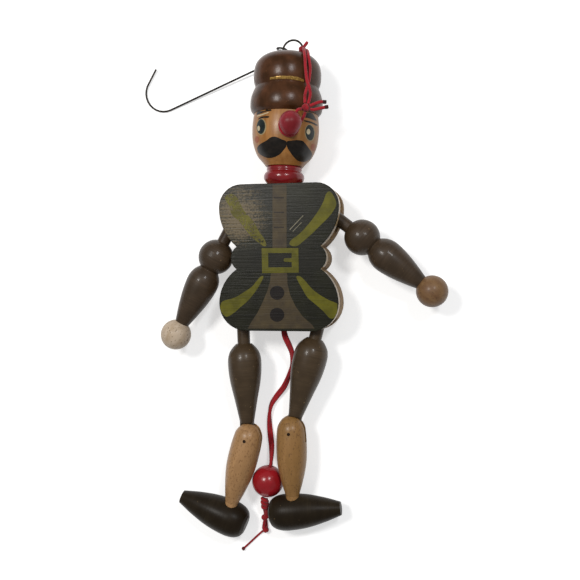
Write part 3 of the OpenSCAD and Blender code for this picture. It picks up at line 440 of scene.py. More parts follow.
def tunic_board():
    """Thin satin paint over sawn wood: near black green, the saw lines showing as ridges, rubbed through to
    a greyish brown by the left shoulder in specks that are also a painted highlight. The sawn edges are
    left unpainted."""
    made, tree = material("satin_paint_on_tunic_board")
    place = add(tree, "TexCoord").outputs["Object"]
    lines = saw_ridges(tree, place)
    cloud = add(tree, "TexNoise", {"Vector": place, "Scale": 1 / (11 * MM), "Detail": 4}).outputs[0]
    speck = add(tree, "TexNoise", {"Vector": place, "Scale": 1 / (0.8 * MM), "Detail": 3}).outputs[0]
    colour = shaded(tree, cloud, 0.35, 0.7, tone("#15150c"), tone("#1f1f12"))
    colour = shaded(tree, lines, 0.56, 0.72, colour, tone("#0f0f09"))
    # Wear and painted highlight: greyish brown specks on the saw ridges, thickest by the left shoulder,
    # where the glare falls
    away = add(tree, "VectorMath", {0: place, 1: laid(*TUNIC_WEAR_AND_GLARE)}, operation="DISTANCE").outputs["Value"]
    rubbed_and_lit = add(tree, "MapRange", {"Value": away, "From Min": WEAR_AND_GLARE_REACH, "From Max": 2 * MM}).outputs[0]
    crumbs_and_glints = add(tree, "Math", {0: lines, 1: speck}, operation="ADD").outputs[0]
    crumbs_and_glints = add(tree, "Math", {0: crumbs_and_glints, 1: rubbed_and_lit}, operation="MULTIPLY").outputs[0]
    colour = shaded(tree, crumbs_and_glints, 0.62, 0.92, colour, tone("#655840"))
    outward = lay @ Vector((0, 0, 1))
    facing = add(tree, "VectorMath", {0: add(tree, "NewGeometry").outputs["Normal"], 1: outward},
                 operation="DOT_PRODUCT").outputs["Value"]
    edge = add(tree, "MapRange", {"Value": facing, "From Min": 0.75, "From Max": 0.55}).outputs[0]
    grain = add(tree, "Mapping", {"Vector": place, "Scale": (1 / (9 * MM), 1 / (1.4 * MM), 1 / (1.4 * MM))})
    fibre = add(tree, "TexNoise", {"Vector": grain.outputs[0], "Scale": 1, "Detail": 4}).outputs[0]
    # Painted light: the sawn edges are coloured lighter than the sawn boards behind, to make up for the
    # little light on the side faces
    bare_brightened = shaded(tree, fibre, 0.34, 0.66, tone("#9c805b"), tone("#d6bd92"))
    height = add(tree, "VectorMath", {0: place, 1: outward}, operation="DOT_PRODUCT")
    face_at = laid(0, 0, TORSO_FACE).dot(outward)
    run = add(tree, "MapRange", {"Value": height.outputs["Value"], "From Min": face_at - PAINT_RUN,
                                 "From Max": face_at - 0.3 * MM}).outputs[0]
    drip = add(tree, "Math", {0: run, 1: cloud}, operation="ADD").outputs[0]
    bare_brightened = shaded(tree, drip, 0.8, 1.05, bare_brightened, tone("#2f2a20"))
    colour = add(tree, "Mix", {0: edge, 6: colour, 7: bare_brightened}, data_type="RGBA").outputs[2]
    rough = add(tree, "MapRange", {"Value": lines, "From Min": 0.2, "From Max": 0.9, "To Min": 0.26,
                                   "To Max": 0.42}).outputs[0]
    surfaced(tree, colour, rough, lines, 0.5, 0.18 * MM, 0.6 * MM, Specular_IOR_Level=0.14)
    return made


refinish(tunic_board(), "front_board")
refinish(sawn_wood("sawn_softwood", "#a98a5f", "#6b5236"), "back_board", "neck_block", "side_rail_left",
         "side_rail_right", "neck_dowel")

# Tunic paint: stripes, placket, belt, buckle and buttons, brushed by hand on the front board in thin
# coats. Each outline was followed in the photograph, in pixels, and is carried along the camera's
# lines of sight on to the board.
BELT = [(240, 251), (250, 250), (262, 249), (299, 249), (312, 250), (319.5, 251), (323, 256), (323, 263),
        (319.5, 269), (312, 270), (299, 271), (262, 271), (250, 270), (240, 269), (234.5, 262),
        (234.5, 257)]
PLACKET_TOP = [(272.5, 184.9), (286.6, 184.9), (286.6, 248.5), (272.5, 248.5)]
PLACKET_LOW = [(271.1, 272.5), (287.1, 272.5), (287.6, 284.3), (290.2, 294.7), (295.4, 306), (302.6, 316.3),
               (311.9, 324.6), (314.5, 328.6), (247.9, 328.6), (251, 322.5), (257.2, 313.2), (262.4, 302.9),
               (267.5, 290.5), (270.1, 281.3)]
STRIPES = {
    "stripe_upper_left": [(266.5, 245.4), (263.2, 246), (259, 243), (252, 237.6), (245.6, 229.6),
                          (239.6, 221.6), (233, 216), (230.6, 211.6), (229.4, 206), (226.6, 201.9),
                          (225.2, 196.4), (232, 193.9), (238.6, 199.6), (243, 209.3), (248.9, 216.3),
                          (254.2, 222.6), (259.4, 231.8), (264.4, 239)],
    "stripe_upper_right": [(289.7, 244.7), (291.2, 240), (299.5, 233.8), (309.8, 222.5), (318, 211.2),
                           (323.2, 201.9), (326.3, 193.6), (330.4, 191.6), (335, 198.8), (336, 206),
                           (329.4, 216.3), (320.1, 225.6), (311.9, 233.8), (303.6, 241), (296.4, 246.2)],
    "stripe_lower_left": [(263.4, 277.6), (261.3, 276.1), (257.2, 280.2), (252.1, 286.4), (244.8, 291.6),
                          (234.5, 297.7), (223.7, 300.8), (220.5, 305), (221, 311.2), (226.3, 316.8),
                          (233.5, 313.2), (240.7, 307), (247.9, 300.8), (253.1, 294.7), (258.2, 287.4)],
    "stripe_lower_right": [(296.4, 277.6), (299.5, 276.1), (304.6, 280.2), (310.8, 287.4), (318, 293.6),
                           (328.3, 299.8), (337.6, 303.9), (337.6, 310.1), (334, 317.9), (329.4, 317.9),
                           (323.2, 311.1), (315, 303.9), (307.7, 297.7), (302.6, 289.5)],
}
BUCKLE = [(261.6, 248.2), (298.4, 248), (298.8, 272.6), (262.2, 273.2)]
BUCKLE_HOLE = [(268.2, 253), (291.6, 253), (291.7, 258), (284.6, 258.2), (283.4, 260), (284.6, 261.8),
               (291.7, 262), (291.8, 267.2), (268.4, 267.4)]
SCRATCHES = [[(289.4, 229.5), (303, 215.2), (303.6, 215.8), (290, 230.1)],
             [(292.6, 231.2), (301.4, 222.2), (301.8, 222.6), (293.1, 231.6)]]
PLACKET_LINES = (197.8, 212.4, 227.4)
PLACKET_LINE_ENDS = (273.9, 284)
PLACKET_LINE_EDGES = (-0.7, 0.6)
BUTTON_X = 277.1
BUTTON_RADII = (7.2, 7)
BUTTON_HEIGHTS = (292.8, 314.8)
# How far each coat stands off the board, so that none cuts into the one below
BELT_RISE = 0.03 * MM
CLOTH_RISE = 0.06 * MM
LINE_RISE = 0.1 * MM
BUCKLE_RISE = 0.12 * MM
trees = {}


def brushed_paint(name, dark, light, worn=0.0, chip_size=2.0):
    """Thin satin paint brushed on the sawn board: the ridges show through, and it is worn off in chips."""
    made, tree = material(name)
    place = add(tree, "TexCoord").outputs["Object"]
    lines = saw_ridges(tree, place)
    cloud = add(tree, "TexNoise", {"Vector": place, "Scale": 1 / (4.5 * MM), "Detail": 4}).outputs[0]
    colour = shaded(tree, cloud, 0.35, 0.68, tone(dark), tone(light))
    colour = shaded(tree, lines, 0.6, 0.74, colour, tone(dark))
    left = 1.0
    if worn:
        chip = add(tree, "TexNoise", {"Vector": place, "Scale": 1 / (chip_size * MM), "Detail": 4,
                                      "Roughness": 0.6}).outputs[0]
        left = add(tree, "MapRange", {"Value": chip, "From Min": worn - 0.04,
                                      "From Max": worn + 0.04}).outputs[0]
    surfaced(tree, colour, 0.4, lines, 0.5, 0.16 * MM, None, Alpha=left, Specular_IOR_Level=0.14)
    return made


def seen(node, u, v):
    """Where the line of sight through a pixel meets a solid, and which way its surface looks there."""
    if node not in trees:
        solid = bpy.data.objects[node]
        trees[node] = BVHTree.FromPolygons([solid.matrix_world @ p.co for p in solid.data.vertices],
                                           [tuple(f.vertices) for f in solid.data.polygons])
    middle = PHOTO_PX / 2
    ray = ((u - middle) * right - (v - middle) * up - FOCAL_PX * back).normalized()
    place, normal, _, _ = trees[node].ray_cast(eye, ray)
    return place, normal


def rounded(outline, steps=4):
    """A closed smooth outline through points."""
    count = len(outline)
    smooth = []
    for i in range(count):
        a, b, c, d = (Vector(outline[(i + k) % count]) for k in (-1, 0, 1, 2))
        smooth += [between(a, b, c, d, k / steps) for k in range(steps)]
    return smooth


def inside(point, outline):
    """Whether a point lies within an outline."""
    hit = False
    for (x1, y1), (x2, y2) in zip(outline, outline[1:] + outline[:1]):
        if (y1 > point[1]) != (y2 > point[1]) and point[0] < (x2 - x1) * (point[1] - y1) / (y2 - y1) + x1:
            hit = not hit
    return hit


def coat(name, node, outline, made, rise, grid=2.0, facing=0.5, hole=None):
    """A coat of paint within an outline of pixels, on the solid below it."""
    rings = [[tuple(p) for p in ring] for ring in ([outline, hole] if hole else [outline])]
    xs, ys = [p[0] for p in rings[0]], [p[1] for p in rings[0]]
    points = [Vector(p) for ring in rings for p in ring]

    def painted(spot):
        """Whether a pixel lies within the outline and not in its hole."""
        return inside(spot, rings[0]) and not (hole and inside(spot, rings[1]))

    for i in range(int((max(xs) - min(xs)) / grid) + 1):
        for k in range(int((max(ys) - min(ys)) / grid) + 1):
            spot = (min(xs) + (i + 0.5) * grid, min(ys) + (k + 0.5) * grid)
            if painted(spot):
                points.append(Vector(spot))
    borders, start = [], 0
    for ring in rings:
        borders += [(start + i, start + (i + 1) % len(ring)) for i in range(len(ring))]
        start += len(ring)
    flat, _, faces, *_ = delaunay_2d_cdt(points, borders, [], 0, 1e-4)
    vertices, good = [], []
    for point in flat:
        place, normal = seen(node, point.x, point.y)
        good.append(place is not None and normal.dot(back) > facing)
        vertices.append(place + rise * normal if place is not None else Vector())
    kept = []
    for face in faces:
        middle = sum((flat[i] for i in face), Vector((0, 0))) / len(face)
        if all(good[i] for i in face) and painted(middle):
            kept.append(tuple(face)[::-1])
    piece = linked(name, vertices, kept)
    film = bmesh.new()
    film.from_mesh(piece.data)
    bmesh.ops.delete(film, geom=[v for v in film.verts if not v.link_faces], context="VERTS")
    bmesh.ops.recalc_face_normals(film, faces=film.faces)
    film.to_mesh(piece.data)
    film.free()
    if piece.data.polygons and piece.data.polygons[0].normal.dot(back) < 0:
        piece.data.flip_normals()
    return dressed(piece, made, "torso")


def oval(x, y, rx, ry, turn=0.0):
    """An ellipse of pixels, turned clockwise."""
    return [(x + rx * math.cos(a) * math.cos(turn) - ry * math.sin(a) * math.sin(turn),
             y + rx * math.cos(a) * math.sin(turn) + ry * math.sin(a) * math.cos(turn))
            for a in [2 * math.pi * k / 28 for k in range(28)]]


olive = brushed_paint("olive_stripe_paint", "#4c490a", "#605c10", worn=0.24)
taupe = brushed_paint("taupe_placket_paint", "#3a3124", "#493e29", worn=0.24)
line_paint = brushed_paint("dark_line_paint", "#1c1713", "#2b231b")
belt_paint = brushed_paint("belt_paint", "#14140d", "#1c1b12", worn=0.24)
coat("belt_band", "front_board", rounded(BELT), belt_paint, BELT_RISE)
coat("placket_top", "front_board", PLACKET_TOP, taupe, CLOTH_RISE)
coat("placket_low", "front_board", PLACKET_LOW, taupe, CLOTH_RISE)
rubbed_olive = brushed_paint("rubbed_stripe_paint", "#4f4a12", "#65601c", worn=0.43, chip_size=1.2)
for name, outline in STRIPES.items():
    coat(name, "front_board", rounded(outline), rubbed_olive if name == "stripe_upper_left" else olive,
         CLOTH_RISE)
x1, x2 = PLACKET_LINE_ENDS
for n, y in enumerate(PLACKET_LINES):
    y1, y2 = (y + edge for edge in PLACKET_LINE_EDGES)
    coat(f"placket_line_{n}", "front_board", [(x1, y1), (x2, y1), (x2, y2), (x1, y2)], line_paint,
         LINE_RISE, grid=1.0)
button_paint = brushed_paint("button_paint", "#100c0a", "#19130f")
for n, y in enumerate(BUTTON_HEIGHTS):
    coat(f"button_{n}", "front_board", oval(BUTTON_X, y, *BUTTON_RADII), button_paint,
         LINE_RISE)
coat("buckle", "front_board", BUCKLE, olive, BUCKLE_RISE, hole=BUCKLE_HOLE)
pale_wood = brushed_paint("bare_wood_scratch", "#6f6a58", "#827b69")
for n, outline in enumerate(SCRATCHES):
    coat(f"scratch_{n}", "front_board", outline, pale_wood, LINE_RISE, grid=1.0)

# Nails: round wire nails. Four go through the torso and are the pins on which the arms and thighs turn,
# and one goes through each knee. Their cut ends stand level with the wood, dark with age.
def wire(name, dark, light, rough):
    """Drawn steel wire, gone dull: a metal sheen with darker oxide in patches of about two millimetres."""
    made, tree = material(name)
    place = add(tree, "TexCoord").outputs["Object"]
    patch = add(tree, "TexNoise", {"Vector": place, "Scale": 1 / (2 * MM), "Detail": 3}).outputs[0]
    colour = shaded(tree, patch, 0.35, 0.7, tone(dark), tone(light))
    surfaced(tree, colour, rough, patch, 0.2, 0.03 * MM, 0.1 * MM, Metallic=0.85)
    return made


refinish(wire("nail_steel", "#5a5650", "#8b8780", 0.42), "shoulder_pin_left", "shoulder_pin_right",
         "hip_pin_left", "hip_pin_right")
refinish(wire("rusty_nail_steel", "#241a12", "#3d2e22", 0.6), "knee_pin_left", "knee_pin_right")

# Arms and hands: each arm is one turning with a ball at the elbow, painted like the tunic in a thin satin
# coat that shows the turner's rings. Each hand is a plain wooden ball on the wrist's peg, worn pale by
# handling.
def along_turning(tree, place, degrees):
    """Places within a turning whose pivot and lean are given: across its axis, along it, and out of it."""
    spot = add(tree, "TexCoord").outputs["Object"]
    turned = {"Vector": spot, "Location": laid(*place), "Rotation": (0, 0, math.radians(degrees))}
    return add(tree, "Mapping", turned, vector_type="TEXTURE").outputs[0]


def satin_turning(name, place, degrees, dark, light, chipped, rough=0.42, shine=0.15, mirrored=0.22):
    """Satin paint on a turning: fine rings round it, cloudy wear, and pinhead chips down to the wood."""
    made, tree = material(name)
    lined = along_turning(tree, place, degrees)
    rings = add(tree, "Mapping", {"Vector": lined, "Scale": (1 / (17 * MM), 1 / (0.7 * MM), 1 / (17 * MM))})
    ring = add(tree, "TexNoise", {"Vector": rings.outputs[0], "Scale": 1, "Detail": 2}).outputs[0]
    cloud = add(tree, "TexNoise", {"Vector": lined, "Scale": 1 / (7.5 * MM), "Detail": 4}).outputs[0]
    chip = add(tree, "TexNoise", {"Vector": lined, "Scale": 1 / (1.1 * MM), "Detail": 2}).outputs[0]
    colour = shaded(tree, cloud, 0.38, 0.68, tone(dark), tone(light))
    colour = shaded(tree, ring, 0.3, 0.8, colour, tone(dark))
    colour = shaded(tree, chip, 0.72, 0.78, colour, tone(chipped))
    relief = add(tree, "Math", {0: ring, 1: cloud}, operation="ADD").outputs[0]
    gloss = add(tree, "MapRange", {"Value": cloud, "To Min": rough - 0.08,
                                   "To Max": rough + 0.14}).outputs[0]
    surfaced(tree, colour, gloss, relief, 0.25, 0.08 * MM, Coat_Weight=shine, Coat_Roughness=0.15,
             Specular_IOR_Level=mirrored)
    return made


def lacquered_turning(name, place, degrees, light, dark, fleck, flecked=0.66, rough=0.4):
    """Clear lacquer on a turning of close-grained wood: warm, satin, grained along it, and flecked."""
    made, tree = material(name)
    lined = along_turning(tree, place, degrees)
    grain = add(tree, "Mapping", {"Vector": lined,
                                  "Scale": (1 / (2.4 * MM), 1 / (30 * MM), 1 / (2.4 * MM))})
    fibre = add(tree, "TexNoise", {"Vector": grain.outputs[0], "Scale": 1, "Detail": 5,
                                   "Roughness": 0.6}).outputs[0]
    pores = add(tree, "Mapping", {"Vector": lined,
                                  "Scale": (1 / (0.7 * MM), 1 / (1.3 * MM), 1 / (0.7 * MM))})
    pore = add(tree, "TexNoise", {"Vector": pores.outputs[0], "Scale": 1, "Detail": 2}).outputs[0]
    cloud = add(tree, "TexNoise", {"Vector": lined, "Scale": 1 / (12 * MM), "Detail": 3}).outputs[0]
    colour = shaded(tree, fibre, 0.32, 0.7, tone(dark), tone(light))
    colour = shaded(tree, cloud, 0.4, 0.75, colour, tone(dark))
    colour = shaded(tree, pore, flecked, flecked + 0.08, colour, tone(fleck))
    surfaced(tree, colour, rough, fibre, 0.2, 0.06 * MM, Coat_Weight=0.1, Coat_Roughness=0.2,
             Specular_IOR_Level=0.35)
    return made


for side in ("left", "right"):
    refinish(satin_turning(f"satin_paint_on_{side}_arm", *LIMBS[f"arm_{side}"], "#372b1e", "#48392a",
                           "#8b7350"), f"arm_{side}")
refinish(lacquered_turning("worn_lacquer_on_left_hand", *LIMBS["arm_left"], "#cdbca8", "#ab967c",
                           "#75624b", flecked=0.62, rough=0.5), "hand_left")
refinish(lacquered_turning("worn_lacquer_on_right_hand", *LIMBS["arm_right"], "#836542", "#68492e",
                           "#4a3524", flecked=0.62, rough=0.5), "hand_right")

# Thighs and calves: turned spindles. The thighs are painted as the arms are. The calves are only lacquered,
# slotted at the knee for the thigh's tongue, and pinned through with a nail.
CALVES = {"left": ((-17.6, -54.95, 0), -14.6), "right": ((4.73, -50.65, 0), 1)}  # nail and lean
for side in ("left", "right"):
    refinish(satin_turning(f"satin_paint_on_{side}_thigh", *LIMBS[f"thigh_{side}"], "#3d3021", "#4e3f2d",
                           "#8b7350", rough=0.36), f"thigh_{side}")
refinish(lacquered_turning("lacquer_on_left_calf", *CALVES["left"], "#b0875b", "#97724a", "#86633f",
                           flecked=0.56), "calf_left")
refinish(lacquered_turning("lacquer_on_right_calf", *CALVES["right"], "#9b7345", "#846134", "#73532f",
                           flecked=0.58), "calf_right")

# Shoes: turned drops of wood, painted near black in a semi-gloss coat, with the ankle's peg glued in from
# above.
SHOES = {"left": ((-28.2, -95.6, -2.5), -110.6), "right": ((5.43, -90.84, -2.5), 97)}  # ankle and lean
for side in ("left", "right"):
    refinish(satin_turning(f"semi_gloss_paint_on_{side}_shoe", *SHOES[side], "#201910", "#2d2519",
                           "#54452f", rough=0.36, shine=0, mirrored=0.12), f"shoe_{side}")

# Collar: one turned ring with a groove round its middle, in thick red enamel, slipped over the neck dowel.
refinish(gloss_enamel("red_collar_enamel", "#6e1217", "#84191e", 0.24, "#4f1014"), "collar")

# Head and face: a turned ball of orange lacquered wood. The face is brushed on it in small glossy
# strokes: dark eyes with a cream dot, lashes, brows, a curled moustache and faded cheeks.
HEAD_TILT = ((0.9, 90, 0), -2)  # middle and lean
BROW_LEFT = [(271.6, 110.6), (268.6, 107.6), (264.8, 104.6), (261, 105.2), (258.6, 109), (256.6, 114.6),
             (261, 113.4), (266, 111.6)]
BROW_RIGHT = [(302.4, 115.4), (305.2, 113.7), (309.1, 112.5), (312.5, 113.7), (314.7, 117.1),
              (316.6, 120.6), (313, 119.9), (308.5, 118.2), (304.6, 117.4)]
BROW_LIGHT = [(257.4, 115.6), (262, 114.2), (268, 112.2), (268.2, 113), (262.2, 115.2), (257.6, 116.6)]
LASH_LEFT = [(258, 119.5), (261.6, 116.6), (268.8, 116.2), (268.2, 117.8), (263, 118)]
LASH_RIGHT = [(304.4, 120.2), (311, 121.6), (317, 124.6), (316.6, 125.8), (310.6, 123.2), (305, 121.6)]
MOUSTACHE_LEFT = [(286.1, 141.4), (281, 139), (275.4, 136.7), (270.9, 137.3), (266.4, 140.6),
                  (260.3, 144), (257.5, 147.4), (258, 151.9), (261.4, 155.2), (266.4, 157.5),
                  (270.9, 157.8), (276, 156.4), (280.5, 153.6), (283.8, 149.6), (286, 146.6)]
MOUSTACHE_RIGHT = [(286.6, 141.8), (291.7, 140.6), (297.3, 140.1), (302.4, 140.9), (305.7, 144),
                   (308.5, 147.9), (311.3, 151.9), (311.9, 155.2), (310.2, 159.2), (305.7, 161.4),
                   (301.8, 161.7), (297.3, 160.3), (293.4, 156.4), (290, 151.9), (287.2, 147.2)]


def face_enamel(name, dark, light, rough=0.3):
    """Enamel from a fine brush: glossy, with streaks about two millimetres long."""
    made, tree = material(name)
    place = add(tree, "TexCoord").outputs["Object"]
    streak = add(tree, "TexNoise", {"Vector": place, "Scale": 1 / (2.4 * MM), "Detail": 3}).outputs[0]
    colour = shaded(tree, streak, 0.4, 0.68, tone(dark), tone(light))
    surfaced(tree, colour, rough, streak, 0.2, 0.08 * MM, None, Specular_IOR_Level=0.25)
    return made


refinish(lacquered_turning("orange_lacquer_on_head", *HEAD_TILT, "#a87742", "#8a5924", "#66401c",
                           flecked=0.68, rough=0.38), "head")
black = face_enamel("black_face_enamel", "#15120f", "#231d18")
eye_blue = face_enamel("blue_black_eye_enamel", "#141c1c", "#202d2d")
cream = face_enamel("cream_eye_enamel", "#b9a988", "#cdbf9e")
eye_rim = face_enamel("buff_eye_rim_enamel", "#8a7a5a", "#a08f6b", 0.4)
cheek = face_enamel("faded_cheek_enamel", "#8f4b2a", "#995a38", 0.4)
for name, outline, made, rise in (
        ("eye_rim_left", oval(261.4, 126.8, 4.9, 8.2, 0.04), eye_rim, 0.03),
        ("eye_rim_right", oval(309.9, 132.8, 5.2, 8.6, -0.08), eye_rim, 0.03),
        ("eye_left", oval(261, 126.6, 4.1, 7.4, 0.04), eye_blue, 0.07),
        ("eye_right", oval(309.8, 132.6, 4.3, 7.7, -0.08), eye_blue, 0.07),
        ("eye_dot_left", oval(258.8, 128.4, 1.3, 2.6), cream, 0.11),
        ("eye_dot_right", oval(308.3, 131.7, 1.9, 2.8), cream, 0.11),
        ("lash_left", rounded(LASH_LEFT), black, 0.1),
        ("lash_right", rounded(LASH_RIGHT), black, 0.1),
        ("brow_left", rounded(BROW_LEFT), black, 0.08),
        ("brow_right", rounded(BROW_RIGHT), black, 0.08),
        ("brow_light_left", rounded(BROW_LIGHT), cream, 0.1),
        ("moustache_left", rounded(MOUSTACHE_LEFT), black, 0.08),
        ("moustache_right", rounded(MOUSTACHE_RIGHT), black, 0.08),
        ("cheek_right", oval(313.4, 147.4, 2.8, 3.6), cheek, 0.05),
        ("cheek_left", oval(257, 139.5, 2.2, 3.4), cheek, 0.05)):
    coat(name, "head", outline, made, rise * MM, grid=1.5, facing=0.05)

# Nose: a small wooden bead in the same red enamel as the pull bead, glued to the head.
refinish(gloss_enamel("red_nose_enamel", "#6f141b", "#8a2630", 0.42, "#a8505a", shine=0,
                      mirrored=0.3), "nose_bead")

# Hat: one turning with two fat rings, in thick brown lacquer that shines like glass. A gold line was
# brushed round the groove between them, and has worn thin at both ends.
GOLD_LINE = [(270, 77.4), (276, 76.2), (283, 75.6), (291, 75.8), (298, 77), (304, 79.4), (304, 82),
             (298, 80.4), (291, 79.2), (283, 78.8), (276, 79), (270, 79.6)]
GOLD_RISE = 0.06 * MM
refinish(gloss_enamel("brown_hat_lacquer", "#38210f", "#543420", 0.27, "#6b4529", shine=0, mirrored=0.2),
         "hat")


def gold_paint():
    """Bronze powder in varnish: a dull yellow glitter of coarse grains, chipped away in places."""
    made, tree = material("bronze_powder_line")
    place = add(tree, "TexCoord").outputs["Object"]
    chip = add(tree, "TexNoise", {"Vector": place, "Scale": 1 / (2.4 * MM), "Detail": 4}).outputs[0]
    grit = add(tree, "TexNoise", {"Vector": place, "Scale": 1 / (0.7 * MM), "Detail": 2}).outputs[0]
    colour = shaded(tree, grit, 0.35, 0.7, tone("#7a5a22"), tone("#b8924a"))
    left = add(tree, "MapRange", {"Value": chip, "From Min": 0.22, "From Max": 0.3}).outputs[0]
    surfaced(tree, colour, 0.35, grit, 0.3, 0.05 * MM, None, Metallic=0.4, Alpha=left)
    return made


coat("gold_line", "hat", GOLD_LINE, gold_paint(), GOLD_RISE, grid=1.2, facing=0.0)

# Staple and hook: blackened steel wire, bent by hand. The staple's legs are driven into the hat, and the
# hook's eye is closed round its arch.
refinish(wire("blackened_wire", "#1f1c19", "#3a352f", 0.4), "hanger_staple", "hanging_hook")

# Hang cord: a single red cord, tied round the staple's right leg. Its two strands run down the hat to a
# knot beside the nose, one ends in a loop round the nose, and the knot's two cut ends are singed.
HANG_ROUTE_LEFT = [(11.6, 138.35, 4.6), (12.2, 137.5, 6.3), (12.8, 136.2, 8.4), (13.2, 134.8, 10.6),
                   (14, 131.5, 12.9), (14.4, 126.4, 13.6), (15.2, 120, 14.1), (16.35, 116.8, 14.4),
                   (16.7, 114, 13.5), (16.3, 111.5, 13.4), (15.7, 108.7, 14.2)]
HANG_ROUTE_RIGHT = [(12.6, 138.3, 1.5), (13.5, 137.2, 4.3), (14.4, 135.5, 7.4), (15.4, 132.3, 11),
                    (16.3, 126.4, 11.6), (15.7, 120, 12.3), (15.1, 116.8, 13.3), (14.4, 113.4, 14.6),
                    (14.3, 111, 14.5), (14.3, 109.1, 14.9)]
NOSE_ROUTE = [(14.5, 104.8, 14.8), (13.6, 102.4, 15), (11.2, 99.1, 14.9), (10.5, 95.7, 15.3),
              (7.5, 93.7, 16.3), (4.1, 94.9, 17.3), (2.7, 98.1, 17.6), (3.5, 101.6, 17.5),
              (6.6, 103.5, 16.7), (9.5, 102.7, 15.8), (11.2, 105.3, 17.5), (12.9, 106.1, 16.3)]
HANG_KNOT = (14.6, 106.9, 14.8)
HANG_KNOT_R = 1.2 * MM
TIP_R = 0.95 * MM
TIP_REACHES = (-1.6, -1.4, -0.9, -0.4, 0.1, 0.25)  # where a singed tip lies, about its strand's cut end
KNOT_TAIL_UPPER = [(16.65, 107.7, 14.9), (18.6, 108.4, 15), (21.6, 109.4, 14.6), (24.3, 109.4, 13.9)]
KNOT_TAIL_LOWER = [(16.75, 106.2, 14.5), (18.5, 105.9, 14.4), (22, 106.6, 14), (25.2, 107.2, 13.5)]
STAPLE_LEG = (10.54, 138.4, 0)
STAPLE_WRAP_R = 1.2  # in millimetres, as the wraps' heights on the leg are
STAPLE_WRAPS_AT = (-0.7, 0.6)
STAPLE_KNOT = (10.7, 138.6, 2.65)
STAPLE_KNOT_R = 0.95 * MM
STUB = [(11.2, 139, 3.2), (12.2, 140, 3.6), (13, 141, 3.6), (13.5, 141.8, 3.5)]
bright_cotton = dyed_cotton("dyed_cotton_hang_cord", "#8a111d", "#b01a28", "#6a0c15")
singed = dyed_cotton("singed_cotton", "#2c0b0c", "#4a1214", "#170607")
hang_paths = {}
for name, points in (("hang_cord_left", HANG_ROUTE_LEFT), ("hang_cord_right", HANG_ROUTE_RIGHT),
                     ("nose_loop", NOSE_ROUTE), ("knot_tail_upper", KNOT_TAIL_UPPER),
                     ("knot_tail_lower", KNOT_TAIL_LOWER)):
    path = through([laid(*p) for p in points])
    strand = dressed(strands(f"{name}_strand", [path], STRAND_D / 2), bright_cotton, "torso")
    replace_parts(strand, name)
    hang_paths[name] = (strand, path)
    if name.startswith("knot_tail"):
        ahead = (path[-1] - path[-2]).normalized()
        tip = [path[-1] + reach * MM * ahead for reach in TIP_REACHES]
        dressed(strands(f"{name}_tip", [tip], TIP_R), singed, "torso")
hang_knot = strands("hang_knot_turns", turns_about(laid(*HANG_KNOT), HANG_KNOT_R, 5), STRAND_D / 2)
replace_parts(dressed(hang_knot, bright_cotton, "torso"), "hang_knot")
staple_routes = turns_about(laid(*STAPLE_KNOT), STAPLE_KNOT_R, 4) + [through([laid(*p) for p in STUB])]
x, y, z = STAPLE_LEG
for higher in STAPLE_WRAPS_AT:
    wrap = [laid(x + STAPLE_WRAP_R * math.cos(a), y + higher, z + STAPLE_WRAP_R * math.sin(a))
            for a in ONE_TURN]
    staple_routes.append(through(wrap))
staple_knot = strands("staple_knot_turns", staple_routes, STRAND_D / 2)
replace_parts(dressed(staple_knot, bright_cotton, "torso"), "staple_knot")
for name, pieces in (("hang_cord_left", [hang_knot, hang_paths["knot_tail_upper"][0]]),
                     ("hang_cord_right", [hang_paths["knot_tail_lower"][0]]), ("nose_loop", [])):
    strand, path = hang_paths[name]
    tuple(path[0])
    length_of(path)
    [tuple(p) for p in path]
    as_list(pieces)

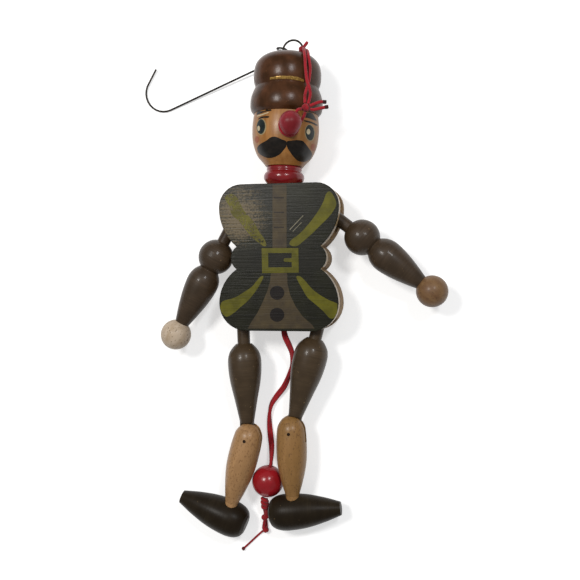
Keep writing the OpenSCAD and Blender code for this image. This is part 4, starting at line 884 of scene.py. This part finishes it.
# Table and light: a white laminate top, seen as plain white with the toy's soft shadow. A soft window to
# the left, a small softbox to the right of the camera and a dim white room light the toy.
TOP_SIZE = 3.0
TOP_GLOW = 0.52  # lifts the lit top to plain white where it is seen or mirrored, and lights nothing
ROOM_LIGHT = 0.28
LAMPS_AIM = (0, 40, 0)
scene = bpy.context.scene
half = TOP_SIZE / 2
table_top = linked("table_top", [(-half, -half, 0), (half, -half, 0), (half, half, 0), (-half, half, 0)],
                   [(0, 1, 2, 3)])
laminate, tree = material("white_laminate")
place = add(tree, "TexCoord").outputs["Object"]
under = add(tree, "NewGeometry").outputs["Backfacing"]  # see-through from below, to show the toy's back
pebble = add(tree, "TexNoise", {"Vector": place, "Scale": 1 / (1.5 * MM), "Detail": 2}).outputs[0]
relief = add(tree, "Bump", {"Height": pebble, "Strength": 0.1, "Distance": 0.02 * MM}).outputs[0]
top = add(tree, "BsdfPrincipled", {"Base Color": tone("#dedede"), "Roughness": 0.6, "Normal": relief,
                                   "Specular IOR Level": 0.2})
glow = add(tree, "Emission", {"Color": (1, 1, 1, 1), "Strength": TOP_GLOW})
lit_top = add(tree, "AddShader", {0: top.outputs[0], 1: glow.outputs[0]})
path_kind = add(tree, "LightPath")
shown = add(tree, "Math", {0: path_kind.outputs["Is Camera Ray"], 1: path_kind.outputs["Is Glossy Ray"]},
            operation="MAXIMUM").outputs[0]
shown = add(tree, "Math", {0: shown, 1: path_kind.outputs["Is Transmission Ray"]},
            operation="MAXIMUM").outputs[0]
laid_top = add(tree, "MixShader", {0: shown, 1: top.outputs[0], 2: lit_top.outputs[0]})
clear = add(tree, "BsdfTransparent")
one_sided = add(tree, "MixShader", {0: under, 1: laid_top.outputs[0], 2: clear.outputs[0]})
add(tree, "OutputMaterial", {0: one_sided.outputs[0]})
table_top.data.materials.append(laminate)

world = bpy.data.worlds.new("white_room")
scene.world = world
world.use_nodes = True
world.node_tree.nodes.clear()
room = add(world.node_tree, "Background", {"Color": (1, 1, 1, 1), "Strength": ROOM_LIGHT})
add(world.node_tree, "OutputWorld", {0: room.outputs[0]})


def lamp(name, place, size, energy, colour):
    """A square soft light that looks at the toy."""
    light = bpy.data.lights.new(name, "AREA")
    light.size, light.energy, light.color = size, energy, colour
    stand = bpy.data.objects.new(name, light)
    scene.collection.objects.link(stand)
    stand.location = place
    stand.rotation_euler = (Vector(place) - laid(*LAMPS_AIM)).to_track_quat("Z", "Y").to_euler()


lamp("window", (-0.26, 0.22, 0.76), size=0.16, energy=3.4, colour=(1, 0.98, 0.95))
lamp("softbox", (0.3, 0.3, 0.66), size=0.1, energy=1.7, colour=(0.97, 0.98, 1))
scene.view_settings.view_transform = "Standard"
